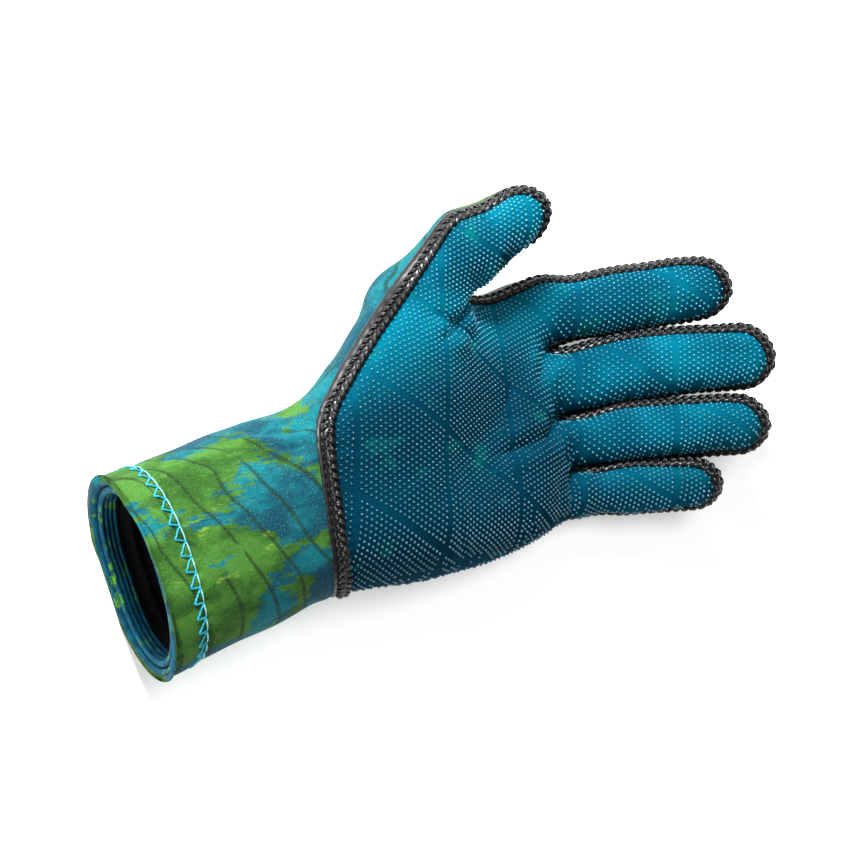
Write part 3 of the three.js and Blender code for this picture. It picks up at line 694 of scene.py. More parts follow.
def join_parts(name, parts, *materials):
    """One mesh of several parts, each given as points, quads, end caps and each quad's material index."""
    count, points, quads, caps, kinds = 0, [], [], [], []
    for part_points, part_quads, part_caps, kind in parts:
        points.append(part_points)
        quads.append(part_quads + count)
        caps.append(part_caps + count)
        kinds.append(kind)
        count += len(part_points)
    mesh = make_mesh(name, np.concatenate(points), *quads, *caps)
    paint(mesh, np.concatenate(kinds + [np.zeros(len(cap)) for cap in caps]), *materials)
    return mesh


def tubes(paths, ups, radii, sides=6):
    """Thin closed tubes along paths, as points, quads and end caps. paths and ups are paths x points x 3."""
    ahead = unit(np.gradient(paths, axis=1))
    across = unit(np.cross(ahead, ups))
    above = np.cross(across, ahead)
    spread = spokes(across, above, sides)
    points = paths[:, :, None] + spread * np.broadcast_to(radii, paths.shape[:2])[:, :, None, None]
    count, length = paths.shape[:2]
    ids = np.arange(count * length * sides).reshape(count, length, sides)
    caps = np.concatenate([ids[:, 0, ::-1], ids[:, -1]])
    return points.reshape(-1, 3), quads_between(ids[:, :-1], ids[:, 1:]), caps


# ---------------------------------------------------------------- the smooth surface


def refine(points, faces, regions, cut, level):
    """The net's smooth limit surface: points, quads, and each quad's region and place on the flat cut."""
    mesh = bpy.data.meshes.new("hand_net")
    mesh.from_pydata(points.tolist(), [], [list(f) for f in faces])
    tag = mesh.attributes.new("region", "INT", "FACE")
    tag.data.foreach_set("value", np.array(regions, dtype=np.int32))
    layer = mesh.uv_layers.new(name="cut")
    corners = np.concatenate([cut[list(f)] for f in faces])
    layer.data.foreach_set("uv", corners.astype(np.float32).ravel())
    holder = bpy.data.objects.new("hand_net", mesh)
    bpy.context.scene.collection.objects.link(holder)
    subdivide = holder.modifiers.new("Smooth", "SUBSURF")
    subdivide.levels = level
    subdivide.use_limit_surface = True
    subdivide.uv_smooth = "NONE"
    depsgraph = bpy.context.evaluated_depsgraph_get()
    smooth = holder.evaluated_get(depsgraph)
    fine = smooth.to_mesh()
    places = np.empty(len(fine.vertices) * 3)
    fine.vertices.foreach_get("co", places)
    quads = np.empty(len(fine.loops), dtype=np.int32)
    fine.loops.foreach_get("vertex_index", quads)
    tags = np.empty(len(fine.polygons), dtype=np.int32)
    fine.attributes["region"].data.foreach_get("value", tags)
    flat = np.empty(len(fine.loops) * 2)
    fine.uv_layers["cut"].data.foreach_get("uv", flat)
    smooth.to_mesh_clear()
    bpy.data.objects.remove(holder)
    bpy.data.meshes.remove(mesh)
    return places.reshape(-1, 3), quads.reshape(-1, 4), tags, flat.reshape(-1, 4, 2)


def flatten(net):
    """The palm sheet's flat cut, in millimetres: the net's palm points spread until their distances fit.

    The heel is stretched and the hollow is gathered, so the dots lie further apart on one than on the other.
    """
    palm = [face for face, region in zip(net.faces, net.regions) if region < 10]
    pairs = set()
    for face in palm:
        corners = list(face)
        pairs.update(tuple(sorted((corners[k], corners[k - 1]))) for k in range(len(corners)))
        if len(corners) == 4:
            pairs.update([tuple(sorted(corners[0::2])), tuple(sorted(corners[1::2]))])
    a, b = np.array(sorted(pairs)).T
    middle = (net.points[a] + net.points[b]) / 2
    along = np.clip(middle[:, 0] / PALM_LENGTH, 0, 1)
    stretch = 0.86 + 0.27 * bell((along - 0.72) / 0.33)
    goal = np.linalg.norm(net.points[a] - net.points[b], axis=1) * stretch
    flat = net.points[:, :2].copy()
    count = np.zeros(len(flat))
    np.add.at(count, a, 1)
    np.add.at(count, b, 1)
    for _ in range(500):
        gap = flat[b] - flat[a]
        distance = np.maximum(np.linalg.norm(gap, axis=1), 1e-9)
        pull = gap * ((distance - goal) / distance * 0.5)[:, None]
        step = np.zeros_like(flat)
        np.add.at(step, a, pull)
        np.add.at(step, b, -pull)
        flat += step / np.maximum(count, 1)[:, None] * 1.6
    return flat


def nearest(points, queries):
    """The nearest of points to each query, as indices and distances."""
    tree = KDTree(len(points))
    for k, point in enumerate(points):
        tree.insert(point, k)
    tree.balance()
    found = [tree.find(query) for query in queries]
    return np.array([f[1] for f in found]), np.array([f[2] for f in found])


def soft_noise(points, size, seed):
    """Smooth waves about size across, of both signs and up to one high, the same on every run."""
    dice = np.random.default_rng(seed)
    total = np.zeros(len(points))
    waves = 14
    for _ in range(waves):
        way = unit(dice.normal(size=3))
        length = size * dice.uniform(0.7, 1.6)
        total += np.sin(points @ way * (2 * np.pi / length) + dice.uniform(0, 2 * np.pi))
    return total / math.sqrt(waves)


class Surface:
    """The glove's outer face, smooth and with its folds, and what lies along the sheets' border."""

    # Levels of smoothing of the outer face and of the lining.
    FINE, COARSE = 3, 2
    # What moves the smooth face in and out, in millimetres: waves of slack cloth, gathers beside the seams,
    # the hem with its stitches, folds, and fuller sides of the fingers.
    SLACK = table("height size seed", (0.42, 46, 3), (0.16, 19, 4))
    GATHERS = table("height away reach", (-0.55, 3.0, 1.7), (0.35, 7.5, 3.0))
    HEM_PUFF = 0.75
    HEM_GROOVE, GROOVE_REACH = 0.5, 1.6
    STITCH_DIP, STITCH_REACH = 0.75, 1.5
    DEEPEST_FOLD = 2.2
    FULLER_REACH = 18
    # How far each sheet's edge stops from the border, under the seam, and how wide a thin folded edge may be.
    EDGE_GAP = 0.2
    THIN_EDGE = 0.5
    # How the border is eased: rounded at the heel and drawn on to the palm at the tips. The sheets follow it.
    HEEL_ROUND, HEEL_REACH = 13, 24
    TIP_DRAW, TIP_REACH = 4.8, 15
    FOLLOW_REACH, FOLLOW_LIMIT = 12, 30

    def __init__(self):
        net = HandNet()
        self.net = net
        cut = flatten(net)
        control = net.points.copy()
        for _ in range(4):
            fitted = refine(control, net.faces, net.regions, cut, 1)[0][:len(control)]
            control += net.points - fitted
        net_parts = (control, net.faces, net.regions, cut)
        self.points, self.faces, self.regions, self.cut = refine(*net_parts, self.FINE)
        self.coarse_points, self.coarse_faces, self.coarse_regions, _ = refine(*net_parts, self.COARSE)
        for places in (self.points, self.coarse_points, net.points):
            places -= ORIGIN
        self.limit_points = self.points.copy()
        self.limit_ends = self.coarse_points.copy()
        self.find_border()
        self.find_mouth()
        for places in (self.points, self.coarse_points, net.points):
            for nudge in NUDGES:
                away = np.linalg.norm(places - nudge["place"], axis=1)
                places += np.outer(bell(away / nudge["reach"]), nudge["shift"])
            places[:, 2] = np.maximum(places[:, 2], 0)
        self.ease_border()
        self.smooth_points = self.points.copy()
        self.normals = normals_of(self.points, self.faces)
        self.coarse_normals = normals_of(self.coarse_points, self.coarse_faces)
        self.press_folds()
        self.normals = normals_of(self.points, self.faces)
        self.tree = BVHTree.FromPolygons(self.points.tolist(), self.faces.tolist())

    @staticmethod
    def open_edges(faces):
        """Edges of these faces that no other of them shares, each from its start to its end."""
        ahead = np.stack([faces, np.roll(faces, -1, 1)], -1).reshape(-1, 2)
        size = ahead.max() + 1
        keys = ahead[:, 0].astype(np.int64) * size + ahead[:, 1]
        back = ahead[:, 1].astype(np.int64) * size + ahead[:, 0]
        return ahead[~np.isin(keys, back)]

    def find_border(self):
        """Smooth runs along the border of the palm sheet, one for each seam."""
        follow = dict(self.open_edges(self.faces[self.regions < 10]).tolist())
        lead = {b: a for a, b in follow.items()}
        limit = 2 ** self.FINE
        self.runs = {}
        for name, ids in self.net.seam_runs().items():
            for step in (follow, lead):
                at = ids[0]
                for _ in range(limit):
                    at = step.get(at)
                if at == ids[1]:
                    break
            else:
                raise RuntimeError(f"the run of the {name} seam isn't on the border")
            chain = [ids[0]]
            while chain[-1] != ids[-1]:
                chain.append(step[chain[-1]])
            self.runs[name] = np.array(chain)
        self.border = np.array(sorted(follow))
        self.border_set = set(follow)

    def ease_border(self):
        """Rounds the border off at the heel, and draws it on to the palm's side at the digits' tips.

        The sheets are moved within their own smooth face, less and less away from the border.
        """
        shifts = np.zeros_like(self.points)
        normals = normals_of(self.points, self.faces)
        bend = np.concatenate([self.runs["wrist"], self.runs["thumb"][1:]])
        path = self.points[bend]
        arc = path_lengths(path)
        even = np.arange(0, arc[-1], 1.0)
        line = on_path(even, arc, path)
        corner = arc[len(self.runs["wrist"]) - 1]
        weights = bell((even[None] - even[:, None]) / self.HEEL_ROUND)
        rounded = weights @ line / weights.sum(1, keepdims=True)
        hold = bell((even - corner) / self.HEEL_REACH)[:, None]
        shifts[bend] += on_path(arc, even, (rounded - line) * hold)
        net = self.net
        for digit in [*net.digits, net.thumb]:
            tip = net.points[digit["tip"]]
            rows = digit["rings"]
            front = net.points[rows["palm"][-3]].mean(0) - net.points[rows["back"][-3]].mean(0)
            away = np.linalg.norm(self.points[self.border] - tip, axis=1)
            drawn = self.TIP_DRAW * bell(away / self.TIP_REACH)
            outward = unit(tip - net.points[rows["palm"][-3]].mean(0))
            shifts[self.border] += np.outer(drawn, unit(front)) - 0.15 * drawn[:, None] * outward
        index, away = nearest(self.points[self.border], self.points)
        near = away < self.FOLLOW_LIMIT
        follow = shifts[self.border][index[near]] * bell(away[near] / self.FOLLOW_REACH)[:, None]
        slide = follow - normals[near] * (follow * normals[near]).sum(1, keepdims=True)
        tree = BVHTree.FromPolygons(self.points.tolist(), self.faces.tolist())
        targets = self.points[near] + slide
        self.points[near] = [tree.find_nearest(Vector(target))[0][:] for target in targets]

    def find_mouth(self):
        """The run of points along the mouth's edge."""
        follow = dict(self.open_edges(self.faces).tolist())
        start = self.net.ids["palm"][0][0]
        chain = [start]
        while len(chain) == 1 or chain[-1] != start:
            chain.append(follow[chain[-1]])
        self.mouth = np.array(chain[:-1])

    def from_mouth(self, points):
        """How far each point is from the mouth's edge."""
        near = points[:, 0] < points[:, 0].min() + 3 * FACING_LENGTH
        far = np.full(len(points), 1e3)
        far[near] = nearest(self.smooth_points[self.mouth], points[near])[1]
        return far

    def press_folds(self):
        """Moves the smooth face in and out: hem, folds, gathers beside the seams and soft cloth's slack."""
        sizes = bpy.context.scene.glove_sizes
        rise = sum(row["height"] * soft_noise(self.points, row["size"], row["seed"]) for row in self.SLACK)
        distance = self.from_mouth(self.points)
        hem = sizes.hem_width / MM
        inside = np.clip(distance / hem, 0, 1)
        puff = self.HEM_PUFF * np.sqrt(np.clip(np.sin(np.pi * inside), 0, 1))
        groove = -self.HEM_GROOVE * bell((distance - hem - 1) / self.GROOVE_REACH)
        rise = rise * np.clip(distance / 30, 0.1, 1) + puff + groove
        rise -= edge_drop(distance)
        for at in self.hem_stitches():
            near = np.linalg.norm(self.points - at, axis=1)
            rise -= self.STITCH_DIP * bell(near / self.STITCH_REACH)
        for fold in FOLDS:
            rise += self.fold_rise(fold)
        rise = np.maximum(rise, -self.DEEPEST_FOLD) + self.fuller_rise()
        chain = np.concatenate(list(self.runs.values()))
        arc = np.concatenate([self.run_lengths(run) for run in self.runs.values()])
        index, off = nearest(self.smooth_points[chain], self.points)
        # The groove beside the seam is deepest at each stitch, and the swell beyond it is even.
        waves = 0.65 + 0.35 * np.cos(2 * np.pi * arc[index] / (sizes.seam_pitch / MM))
        for gather, depth in zip(self.GATHERS, (waves, 1)):
            rise += gather["height"] * bell((off - gather["away"]) / gather["reach"]) * depth
        self.border_distance = off
        self.points = self.points + self.normals * rise[:, None]
        self.points[:, 2] = np.maximum(self.points[:, 2], 0)

    def fuller_rise(self):
        """How far each finger's sides are pushed out."""
        side = np.zeros((len(self.points), 2))
        for row in FULLER:
            picked = np.unique(self.faces[self.regions % 10 == row["region"]])
            side[picked] = row["ulnar"], row["radial"]
        crotch = self.net.points[self.net.ids["palm"][self.net.crotch]]
        order = np.argsort(crotch[:, 1])
        start = np.interp(self.points[:, 1], crotch[order, 1], crotch[order, 0])
        grow = eased(np.clip((self.points[:, 0] - start) / self.FULLER_REACH, 0, 1))
        across = self.normals[:, 1]
        return grow * (side[:, 0] * np.clip(-across, 0, 1) + side[:, 1] * np.clip(across, 0, 1))

    def run_lengths(self, run):
        """How far along a seam's run each of its points is, on the face without its folds."""
        return path_lengths(self.smooth_points[run])

    def fold_rise(self, fold):
        """How far one fold moves the face: a groove with a sharp bottom and a low swell on both sides."""
        corners = np.array(fold["line"], float)
        knots = np.linspace(0, len(corners) - 1, 40)
        line = on_path(knots, np.arange(len(corners)), corners)
        fade = np.sin(np.pi * np.linspace(0.06, 0.94, len(line)))
        width, depth = fold["width"], fold["depth"]
        rise = np.zeros(len(self.points))
        reach = 5 * width
        near = np.all((self.points > line.min(0) - reach) & (self.points < line.max(0) + reach), axis=1)
        picked = self.points[near]
        gaps = np.linalg.norm(picked[:, None] - line[None], axis=2)
        best = gaps.argmin(1)
        away = gaps[np.arange(len(picked)), best]
        shape = -0.75 * bell(away / width) + 0.5 * bell((away - 2.3 * width) / (1.3 * width))
        shape -= 0.7 * bell(away / np.minimum(0.4 * width, 1.1))
        rise[near] = depth * shape * fade[best]
        return rise

    def ring_at(self, distance, turns):
        """Points of the cuff at a distance from the mouth's edge, at shares of a turn round it."""
        net = self.net
        rows = [net.ids["palm"][i] + net.ids["back"][i][-2:0:-1] for i in range(net.wrist)]
        rings = np.array([net.points[row + row[:1]] for row in rows])
        steps = np.linalg.norm(np.diff(rings, axis=0), axis=2).mean(1)
        away = np.concatenate([[0], np.cumsum(steps)])
        ring = np.stack([[np.interp(distance, away, rings[:, j, k]) for k in range(3)]
                         for j in range(rings.shape[1])])
        length = path_lengths(ring)
        self.cuff_round = length[-1]
        return on_path(np.mod(turns, 1) * length[-1], length, ring)

    def hem_turns(self):
        """Shares of a turn at which the cover stitch's zigzag meets its straight thread."""
        sizes = bpy.context.scene.glove_sizes
        self.ring_at(sizes.hem_width / MM, np.zeros(1))
        count = round(self.cuff_round / (sizes.hem_stitch / MM))
        return np.arange(count) / count

    def hem_stitches(self):
        """Places where the cover stitch goes through the sheet and draws it in."""
        sizes = bpy.context.scene.glove_sizes
        return self.ring_at((sizes.hem_width + sizes.hem_reach / 2) / MM, self.hem_turns())

    def snap(self, queries):
        """The nearest places on the folded face to these points, and the face's normals there."""
        found = [self.tree.find_nearest(Vector(q)) for q in queries.reshape(-1, 3)]
        places = np.array([f[0][:] for f in found]).reshape(queries.shape)
        normals = np.array([f[1][:] for f in found]).reshape(queries.shape)
        return places, unit(normals)

    def sheet(self, palm):
        """One sheet as a closed body: its outer face, a coarser inner face and the edges between them.

        Returns points, quads, triangles, each face's kind and the outer quads' flat cut. The kinds are 0 for
        outside, 1 for the lining, 2 for the turned-in cloth and 3 for the thin line where it turns in.
        """
        wall = bpy.context.scene.glove_sizes.sheet / MM
        chosen = (self.regions < 10) == palm
        outer = self.faces[chosen]
        coarse = self.coarse_faces[(self.coarse_regions < 10) == palm]
        inner_points = self.coarse_points - self.coarse_normals * wall
        inner_points += self.coarse_normals * edge_drop(self.from_mouth(self.coarse_points))[:, None]
        rim = self.open_edges(outer)
        inner_rim = self.open_edges(coarse)
        ends = np.unique(inner_rim)
        index, gap = nearest(self.limit_points[np.unique(rim)], self.limit_ends[ends])
        if gap.max() > 0.05:
            raise RuntimeError("the sheet's inner face doesn't meet its outer face")
        match = dict(zip(ends.tolist(), np.unique(rim)[index].tolist()))
        follow = dict(rim.tolist())
        used = np.unique(outer)
        used_inner = np.unique(coarse)
        renumber = np.full(len(self.points), -1)
        renumber[used] = np.arange(len(used))
        renumber_inner = np.full(len(self.coarse_points), -1)
        renumber_inner[used_inner] = np.arange(len(used_inner)) + len(used)
        places = self.points.copy()
        for a, b in rim:
            if a in self.border_set:
                along = self.smooth_points[b] - self.smooth_points[a]
                places[a] += unit(np.cross(self.normals[a], along)) * self.EDGE_GAP
        edge, edge_kind = [], []
        mouth = set(self.mouth.tolist())
        for a, b in inner_rim.tolist():
            start, end = match[a], match[b]
            middle = follow[start]
            corners = [renumber[start], renumber[middle], renumber[end], renumber_inner[a], renumber_inner[b]]
            s, m, e, i, j = corners
            edge += [(m, s, i), (m, i, j), (e, m, j)]
            thin = np.linalg.norm(self.points[middle] - inner_points[a]) < self.THIN_EDGE
            edge_kind += [(3 if thin else 0) if middle in mouth else 1] * 3
        quads = np.concatenate([renumber[outer], renumber_inner[coarse[:, ::-1]]])
        turned = self.from_mouth(self.coarse_points)[coarse].max(1) < FACING_LENGTH
        kinds = np.concatenate([np.zeros(len(outer)), np.where(turned, 2, 1), edge_kind])
        points = np.concatenate([places[used], inner_points[used_inner]])
        return points, quads, np.array(edge), kinds, self.cut[chosen]


@lru_cache(maxsize=1)
def surface():
    """The glove's outer face, worked out once."""
    return Surface()


# ---------------------------------------------------------------- materials

# Shader nodes by a short name: Blender's name, the settings, the sockets that values go to in turn, and the
# output that is used.
WAVE_SOCKETS = ("Vector", "Scale", "Distortion", "Detail", "Detail Scale")
NODES = {
    "object": ("TexCoord", {}, (), "Object"),
    "cut": ("UVMap", {"uv_map": "cut"}, (), 0),
    "stretch": ("Mapping", {}, ("Vector", "Scale"), 0),
    "x": ("SeparateXYZ", {}, (0,), 0),
    "y": ("SeparateXYZ", {}, (0,), 1),
    "noise": ("TexNoise", {}, ("Vector", "Scale", "Detail", "Roughness", "Distortion"), "Fac"),
    "bands": ("TexWave", {"wave_type": "BANDS", "bands_direction": "Y"}, WAVE_SOCKETS, "Fac"),
    "rings": ("TexWave", {"wave_type": "RINGS", "rings_direction": "SPHERICAL"}, WAVE_SOCKETS, "Fac"),
    "fade": ("MapRange", {"interpolation_type": "SMOOTHSTEP"}, ("Value", "From Min", "From Max"), 0),
    "mix": ("Mix", {"data_type": "RGBA", "blend_type": "MIX"}, (0, 6, 7), 2),
    "sum": ("Math", {"operation": "ADD"}, (0, 1), 0),
    "less": ("Math", {"operation": "SUBTRACT"}, (0, 1), 0),
    "times": ("Math", {"operation": "MULTIPLY"}, (0, 1), 0),
    "most": ("Math", {"operation": "MAXIMUM"}, (0, 1), 0),
    "scale": ("VectorMath", {"operation": "SCALE"}, (0, 3), 0),
    "move": ("VectorMath", {"operation": "ADD"}, (0, 1), 0),
    "bump": ("Bump", {}, ("Height", "Distance", "Strength"), 0),
    "shader": ("BsdfPrincipled", {},
               ("Base Color", "Roughness", "Normal", "IOR", "Sheen Weight", "Sheen Roughness"), 0),
    "surface": ("OutputMaterial", {}, ("Surface",), None),
}


def add_node(tree, kind, *values, **sockets):
    """Adds a node with its settings and links, and gives the output that NODES names.

    A value that is another node's output is linked in, and any other is set on its socket.
    """
    blender_name, settings, order, output = NODES[kind]
    node = tree.nodes.new("ShaderNode" + blender_name)
    for name, value in settings.items():
        setattr(node, name, value)
    named = [(name.replace("_", " "), value) for name, value in sockets.items()]
    for name, value in [*zip(order, values), *named]:
        socket = node.inputs[name]
        if isinstance(value, bpy.types.NodeSocket):
            tree.links.new(value, socket)
        else:
            socket.default_value = (*value, 1.0) if socket.type == "RGBA" else value
    return None if output is None else node.outputs[output]


def new_material(name):
    """An empty material, add_node for its tree, and places on the object in millimetres.

    A texture's scale on these places is one over the size in millimetres that it draws.
    """
    material = bpy.data.materials.new(name)
    material.use_nodes = True
    material.node_tree.nodes.clear()
    add = partial(add_node, material.node_tree)
    return material, add, add("stretch", add("object"), (1 / MM, 1 / MM, 1 / MM))


def finish_cloth(add, colour, height, depth, roughness, sheen, sheen_roughness=0.45, **sockets):
    """A dull surface: its colour, relief of a depth in millimetres and a soft sheen at grazing angles."""
    bump = add("bump", height, depth * MM, 1.0)
    add("surface", add("shader", colour, roughness, bump, 1.5, sheen, sheen_roughness, **sockets))


def grained(name, size, roughness, low, high, first, second, *finish, **sockets):
    """A plain surface in two close colours with a fine grain of the given size, which is its relief too."""
    material, add, place = new_material(name)
    grain = add("noise", place, 1 / size, 2.0, roughness)
    finish_cloth(add, add("mix", add("fade", grain, low, high), first, second), grain, *finish, **sockets)
    return material


def painted_hollow_shade(add, place):
    """Share of painted shade, in the darkest colour, on the palm sheet: most over the cupped hollow and the
    heel's outer side, which lie in shade.
    """
    along = add("fade", add("x", place), 62, 34)
    across = add("fade", add("y", place), 34, -2)
    outer = add("times", add("fade", add("y", place), -26, -60), 0.6)
    return add("most", add("times", add("times", along, across), 0.9), outer)


@lru_cache(maxsize=None)
def palm_jersey():
    """Polyester jersey laminated to neoprene and dyed teal.

    It gives the eye a dull, even cloth with cloudy changes of the dye, a grain of fine loops and painted
    shade over the hollow and the heel.
    """
    colours = bpy.context.scene.glove_colours
    material, add, place = new_material("dyed_jersey_on_neoprene")
    cloud = add("fade", add("noise", place, 1 / 38, 2.0, 0.55), 0.38, 0.64)
    colour = add("mix", cloud, colours.palm, colours.palm_deep)
    # Painted shade: the jersey darkens over the cupped hollow and the heel's outer side.
    colour = add("mix", painted_hollow_shade(add, place), colour, colours.palm_painted_shade)
    tint = add("fade", add("noise", add("stretch", place, (1, 1.6, 1)), 1 / 21, 3.0, 0.6), 0.58, 0.72)
    colour = add("mix", add("times", tint, 0.3), colour, colours.palm_tint)
    # The loops are 0.4 mm wide, which is about one pixel, so they are drawn 0.8 mm wide.
    loops = add("bands", add("cut"), 1 / (0.8 * math.pi), 1.2, 1.0, 1.5)
    grain = add("noise", place, 1 / 0.7, 2.0, 0.6)
    shade = add("times", add("fade", grain, 0.3, 0.7), 0.35)
    colour = add("mix", shade, colour, colours.palm_deep)
    finish_cloth(add, colour, add("mix", 0.5, loops, grain), 0.1, 0.85, 0.0, Specular_IOR_Level=0.06)
    return material


@lru_cache(maxsize=None)
def grip_rubber():
    """Silicone rubber screen printed in drops and cured.

    It gives the eye small glossy beads, each with one sharp light, in nearly the jersey's colour and with its
    painted shade.
    """
    colours = bpy.context.scene.glove_colours
    material, add, place = new_material("printed_silicone_drops")
    cloud = add("fade", add("noise", place, 1 / 38, 2.0, 0.55), 0.38, 0.64)
    colour = add("mix", add("times", cloud, 0.4), colours.dots, colours.dots_deep_and_shade)
    # Painted shade: the dots darken over the hollow and the heel, as the jersey does.
    colour = add("mix", painted_hollow_shade(add, place), colour, colours.dots_deep_and_shade)
    finish_cloth(add, colour, add("noise", place, 1 / 0.5, 1.0, 0.55), 0.01, 0.3, 0.0, Coat_Weight=1.0,
                 Coat_Roughness=0.14, Specular_IOR_Level=1.0)
    return material


@lru_cache(maxsize=None)
def printed_jersey():
    """Brushed nylon jersey on neoprene, with a sublimated print.

    It gives the eye soft patches with ragged brushed edges, fine fibre specks and thin drawn ripples.
    """
    colours = bpy.context.scene.glove_colours
    material, add, place = new_material("brushed_printed_jersey")
    streaks = add("stretch", place, (0.55, 1, 1))
    # Brush marks with ragged ends, about 1.5 mm wide and 6 mm long.
    ragged = add("noise", add("stretch", place, (0.3, 1, 1)), 1 / 1.6, 3.0, 0.7)
    rag = add("times", add("less", ragged, 0.5), 0.22)
    patches = add("sum", add("noise", streaks, 1 / 26, 2.5, 0.5, 0.4), rag)
    # There is more teal near the wrist and on the thumb's side of the cuff, and more green on the digits.
    for axis, low, high, share in (("x", -100, -62, 0.05), ("y", -16, 16, 0.07), ("x", 2, 34, -0.1)):
        patches = add("sum", patches, add("times", add("fade", add(axis, place), low, high), share))
    tone = add("noise", streaks, 1 / 12, 4.0, 0.6, 0.3)
    green = add("mix", add("fade", tone, 0.36, 0.62), colours.print_shade, colours.print_green)
    light = add("fade", add("noise", add("stretch", place, (0.4, 1.2, 1)), 1 / 9, 4.0, 0.7), 0.6, 0.7)
    green = add("mix", add("times", light, 0.75), green, colours.print_light)
    teal = add("mix", add("fade", tone, 0.4, 0.62), colours.print_blue, colours.print_teal)
    colour = add("mix", add("fade", patches, 0.535, 0.56), green, teal)
    # Ripples: thin dark lines about 0.8 mm wide, some 13 mm apart, that come and go over the green.
    push = add("scale", (42, -42, 21), add("noise", place, 1 / 30, 1.0, 0.55))
    line = add("fade", add("rings", add("move", place, push), 0.03, 3.0, 1.0, 0.6), 0.95, 0.985)
    come_and_go = add("fade", add("noise", place, 1 / 22, 1.0, 0.55), 0.38, 0.46)
    colour = add("mix", add("times", add("times", line, come_and_go), 0.65), colour, colours.print_line)
    # Fibres are 0.02 mm thick and show as specks about 0.6 mm long.
    fibres = add("noise", add("stretch", place, (0.8, 1, 1)), 1 / 0.55, 2.0, 0.7)
    light_ones = add("times", add("fade", fibres, 0.54, 0.74), 0.45)
    dark_ones = add("times", add("fade", fibres, 0.5, 0.25), 0.6)
    colour = add("mix", light_ones, colour, colours.print_light)
    colour = add("mix", dark_ones, colour, colours.print_shade)
    height = add("mix", 0.35, fibres, add("noise", place, 1 / 2.4, 3.0, 0.55))
    finish_cloth(add, colour, height, 0.2, 0.88, 0.04, Specular_IOR_Level=0.2)
    return material


@lru_cache(maxsize=None)
def facing_knit():
    """Elastic nylon knit with a flecked print, folded over the mouth's edge.

    It gives the eye close lines along the mouth and flecks of green on blue.
    """
    colours = bpy.context.scene.glove_colours
    material, add, place = new_material("ribbed_elastic_knit")
    flecks = add("fade", add("noise", add("stretch", place, (1, 0.5, 0.5)), 1 / 3.2, 3.0, 0.7), 0.52, 0.58)
    more = add("fade", add("noise", place, 1 / 24, 1.0, 0.55), 0.4, 0.62)
    tone = add("fade", add("noise", add("stretch", place, (1, 0.3, 0.3)), 1 / 1.2, 2.0, 0.55), 0.35, 0.65)
    colour = add("mix", tone, colours.print_blue, colours.facing)
    colour = add("mix", add("times", flecks, more), colour, colours.facing_fleck)
    height = add("noise", add("stretch", place, (1, 0.4, 0.4)), 1 / 0.8, 2.0, 0.55)
    finish_cloth(add, colour, height, 0.2, 0.85, 0.05, Specular_IOR_Level=0.25)
    return material


@lru_cache(maxsize=None)
def lining_jersey():
    """Plain nylon jersey on the neoprene's inner face.

    It gives the eye a nearly black inside with a grey bloom where light grazes it.
    """
    colours = bpy.context.scene.glove_colours
    material, add, place = new_material("plain_nylon_lining")
    grain = add("noise", place, 1 / 0.8, 2.0, 0.55)
    colour = add("mix", add("times", grain, 0.25), colours.lining, colours.lining_bloom)
    finish_cloth(add, colour, grain, 0.12, 0.7, 0.55, 0.35)
    return material


@lru_cache(maxsize=None)
def folded_edge():
    """Cut edge of the sheet, glued and turned in. It gives the eye a thin dark red line round the mouth."""
    colours = bpy.context.scene.glove_colours
    return grained("glued_cut_edge", 1.5, 0.55, 0.35, 0.65, colours.cut_edge, colours.thread, 0.08, 0.6, 0.0)


@lru_cache(maxsize=None)
def overlock_thread():
    """Bulked polyester thread, sewn in a chain. It gives the eye black strands with hard grey lights."""
    colours = bpy.context.scene.glove_colours
    return grained("bulked_polyester_thread", 0.45, 0.6, 0.4, 0.75, colours.thread, colours.strip,
                   0.1, 0.32, 0.0, Coat_Weight=0.4, Coat_Roughness=0.25)


@lru_cache(maxsize=None)
def edge_strip():
    """Smooth-skin neoprene, pressed flat. It gives the eye a plain charcoal band with a long soft light."""
    colours = bpy.context.scene.glove_colours
    return grained("smooth_skin_neoprene", 1.1, 0.55, 0.35, 0.7, colours.strip, colours.thread,
                   0.06, 0.42, 0.1)


def stitch_thread(name, first, second):
    """Textured nylon thread. It gives the eye a bright line with a twist of lighter and darker turns."""
    return grained(name, 0.5, 0.55, 0.35, 0.7, first, second, 0.06, 0.5, 0.2)


# ---------------------------------------------------------------- pieces


class GLOVE_OT_palm_panel(bpy.types.Operator):
    """Palm sheet: the front of the hand and of all five digits."""

    bl_idname = "glove.palm_panel"
    bl_label = "Palm sheet"

    def execute(self, context):
        points, quads, triangles, kinds, cut = surface().sheet(palm=True)
        mesh = make_mesh("palm_sheet", points, quads, triangles)
        layer = mesh.uv_layers.new(name="cut")
        flat = np.zeros((len(mesh.loops), 2), dtype=np.float32)
        flat[:cut.shape[0] * 4] = cut.reshape(-1, 2)
        layer.data.foreach_set("uv", flat.ravel())
        paint(mesh, kinds, palm_jersey(), lining_jersey())
        place_piece("palm_sheet", mesh, "palm_neoprene", "palm_panel")
        return {"FINISHED"}


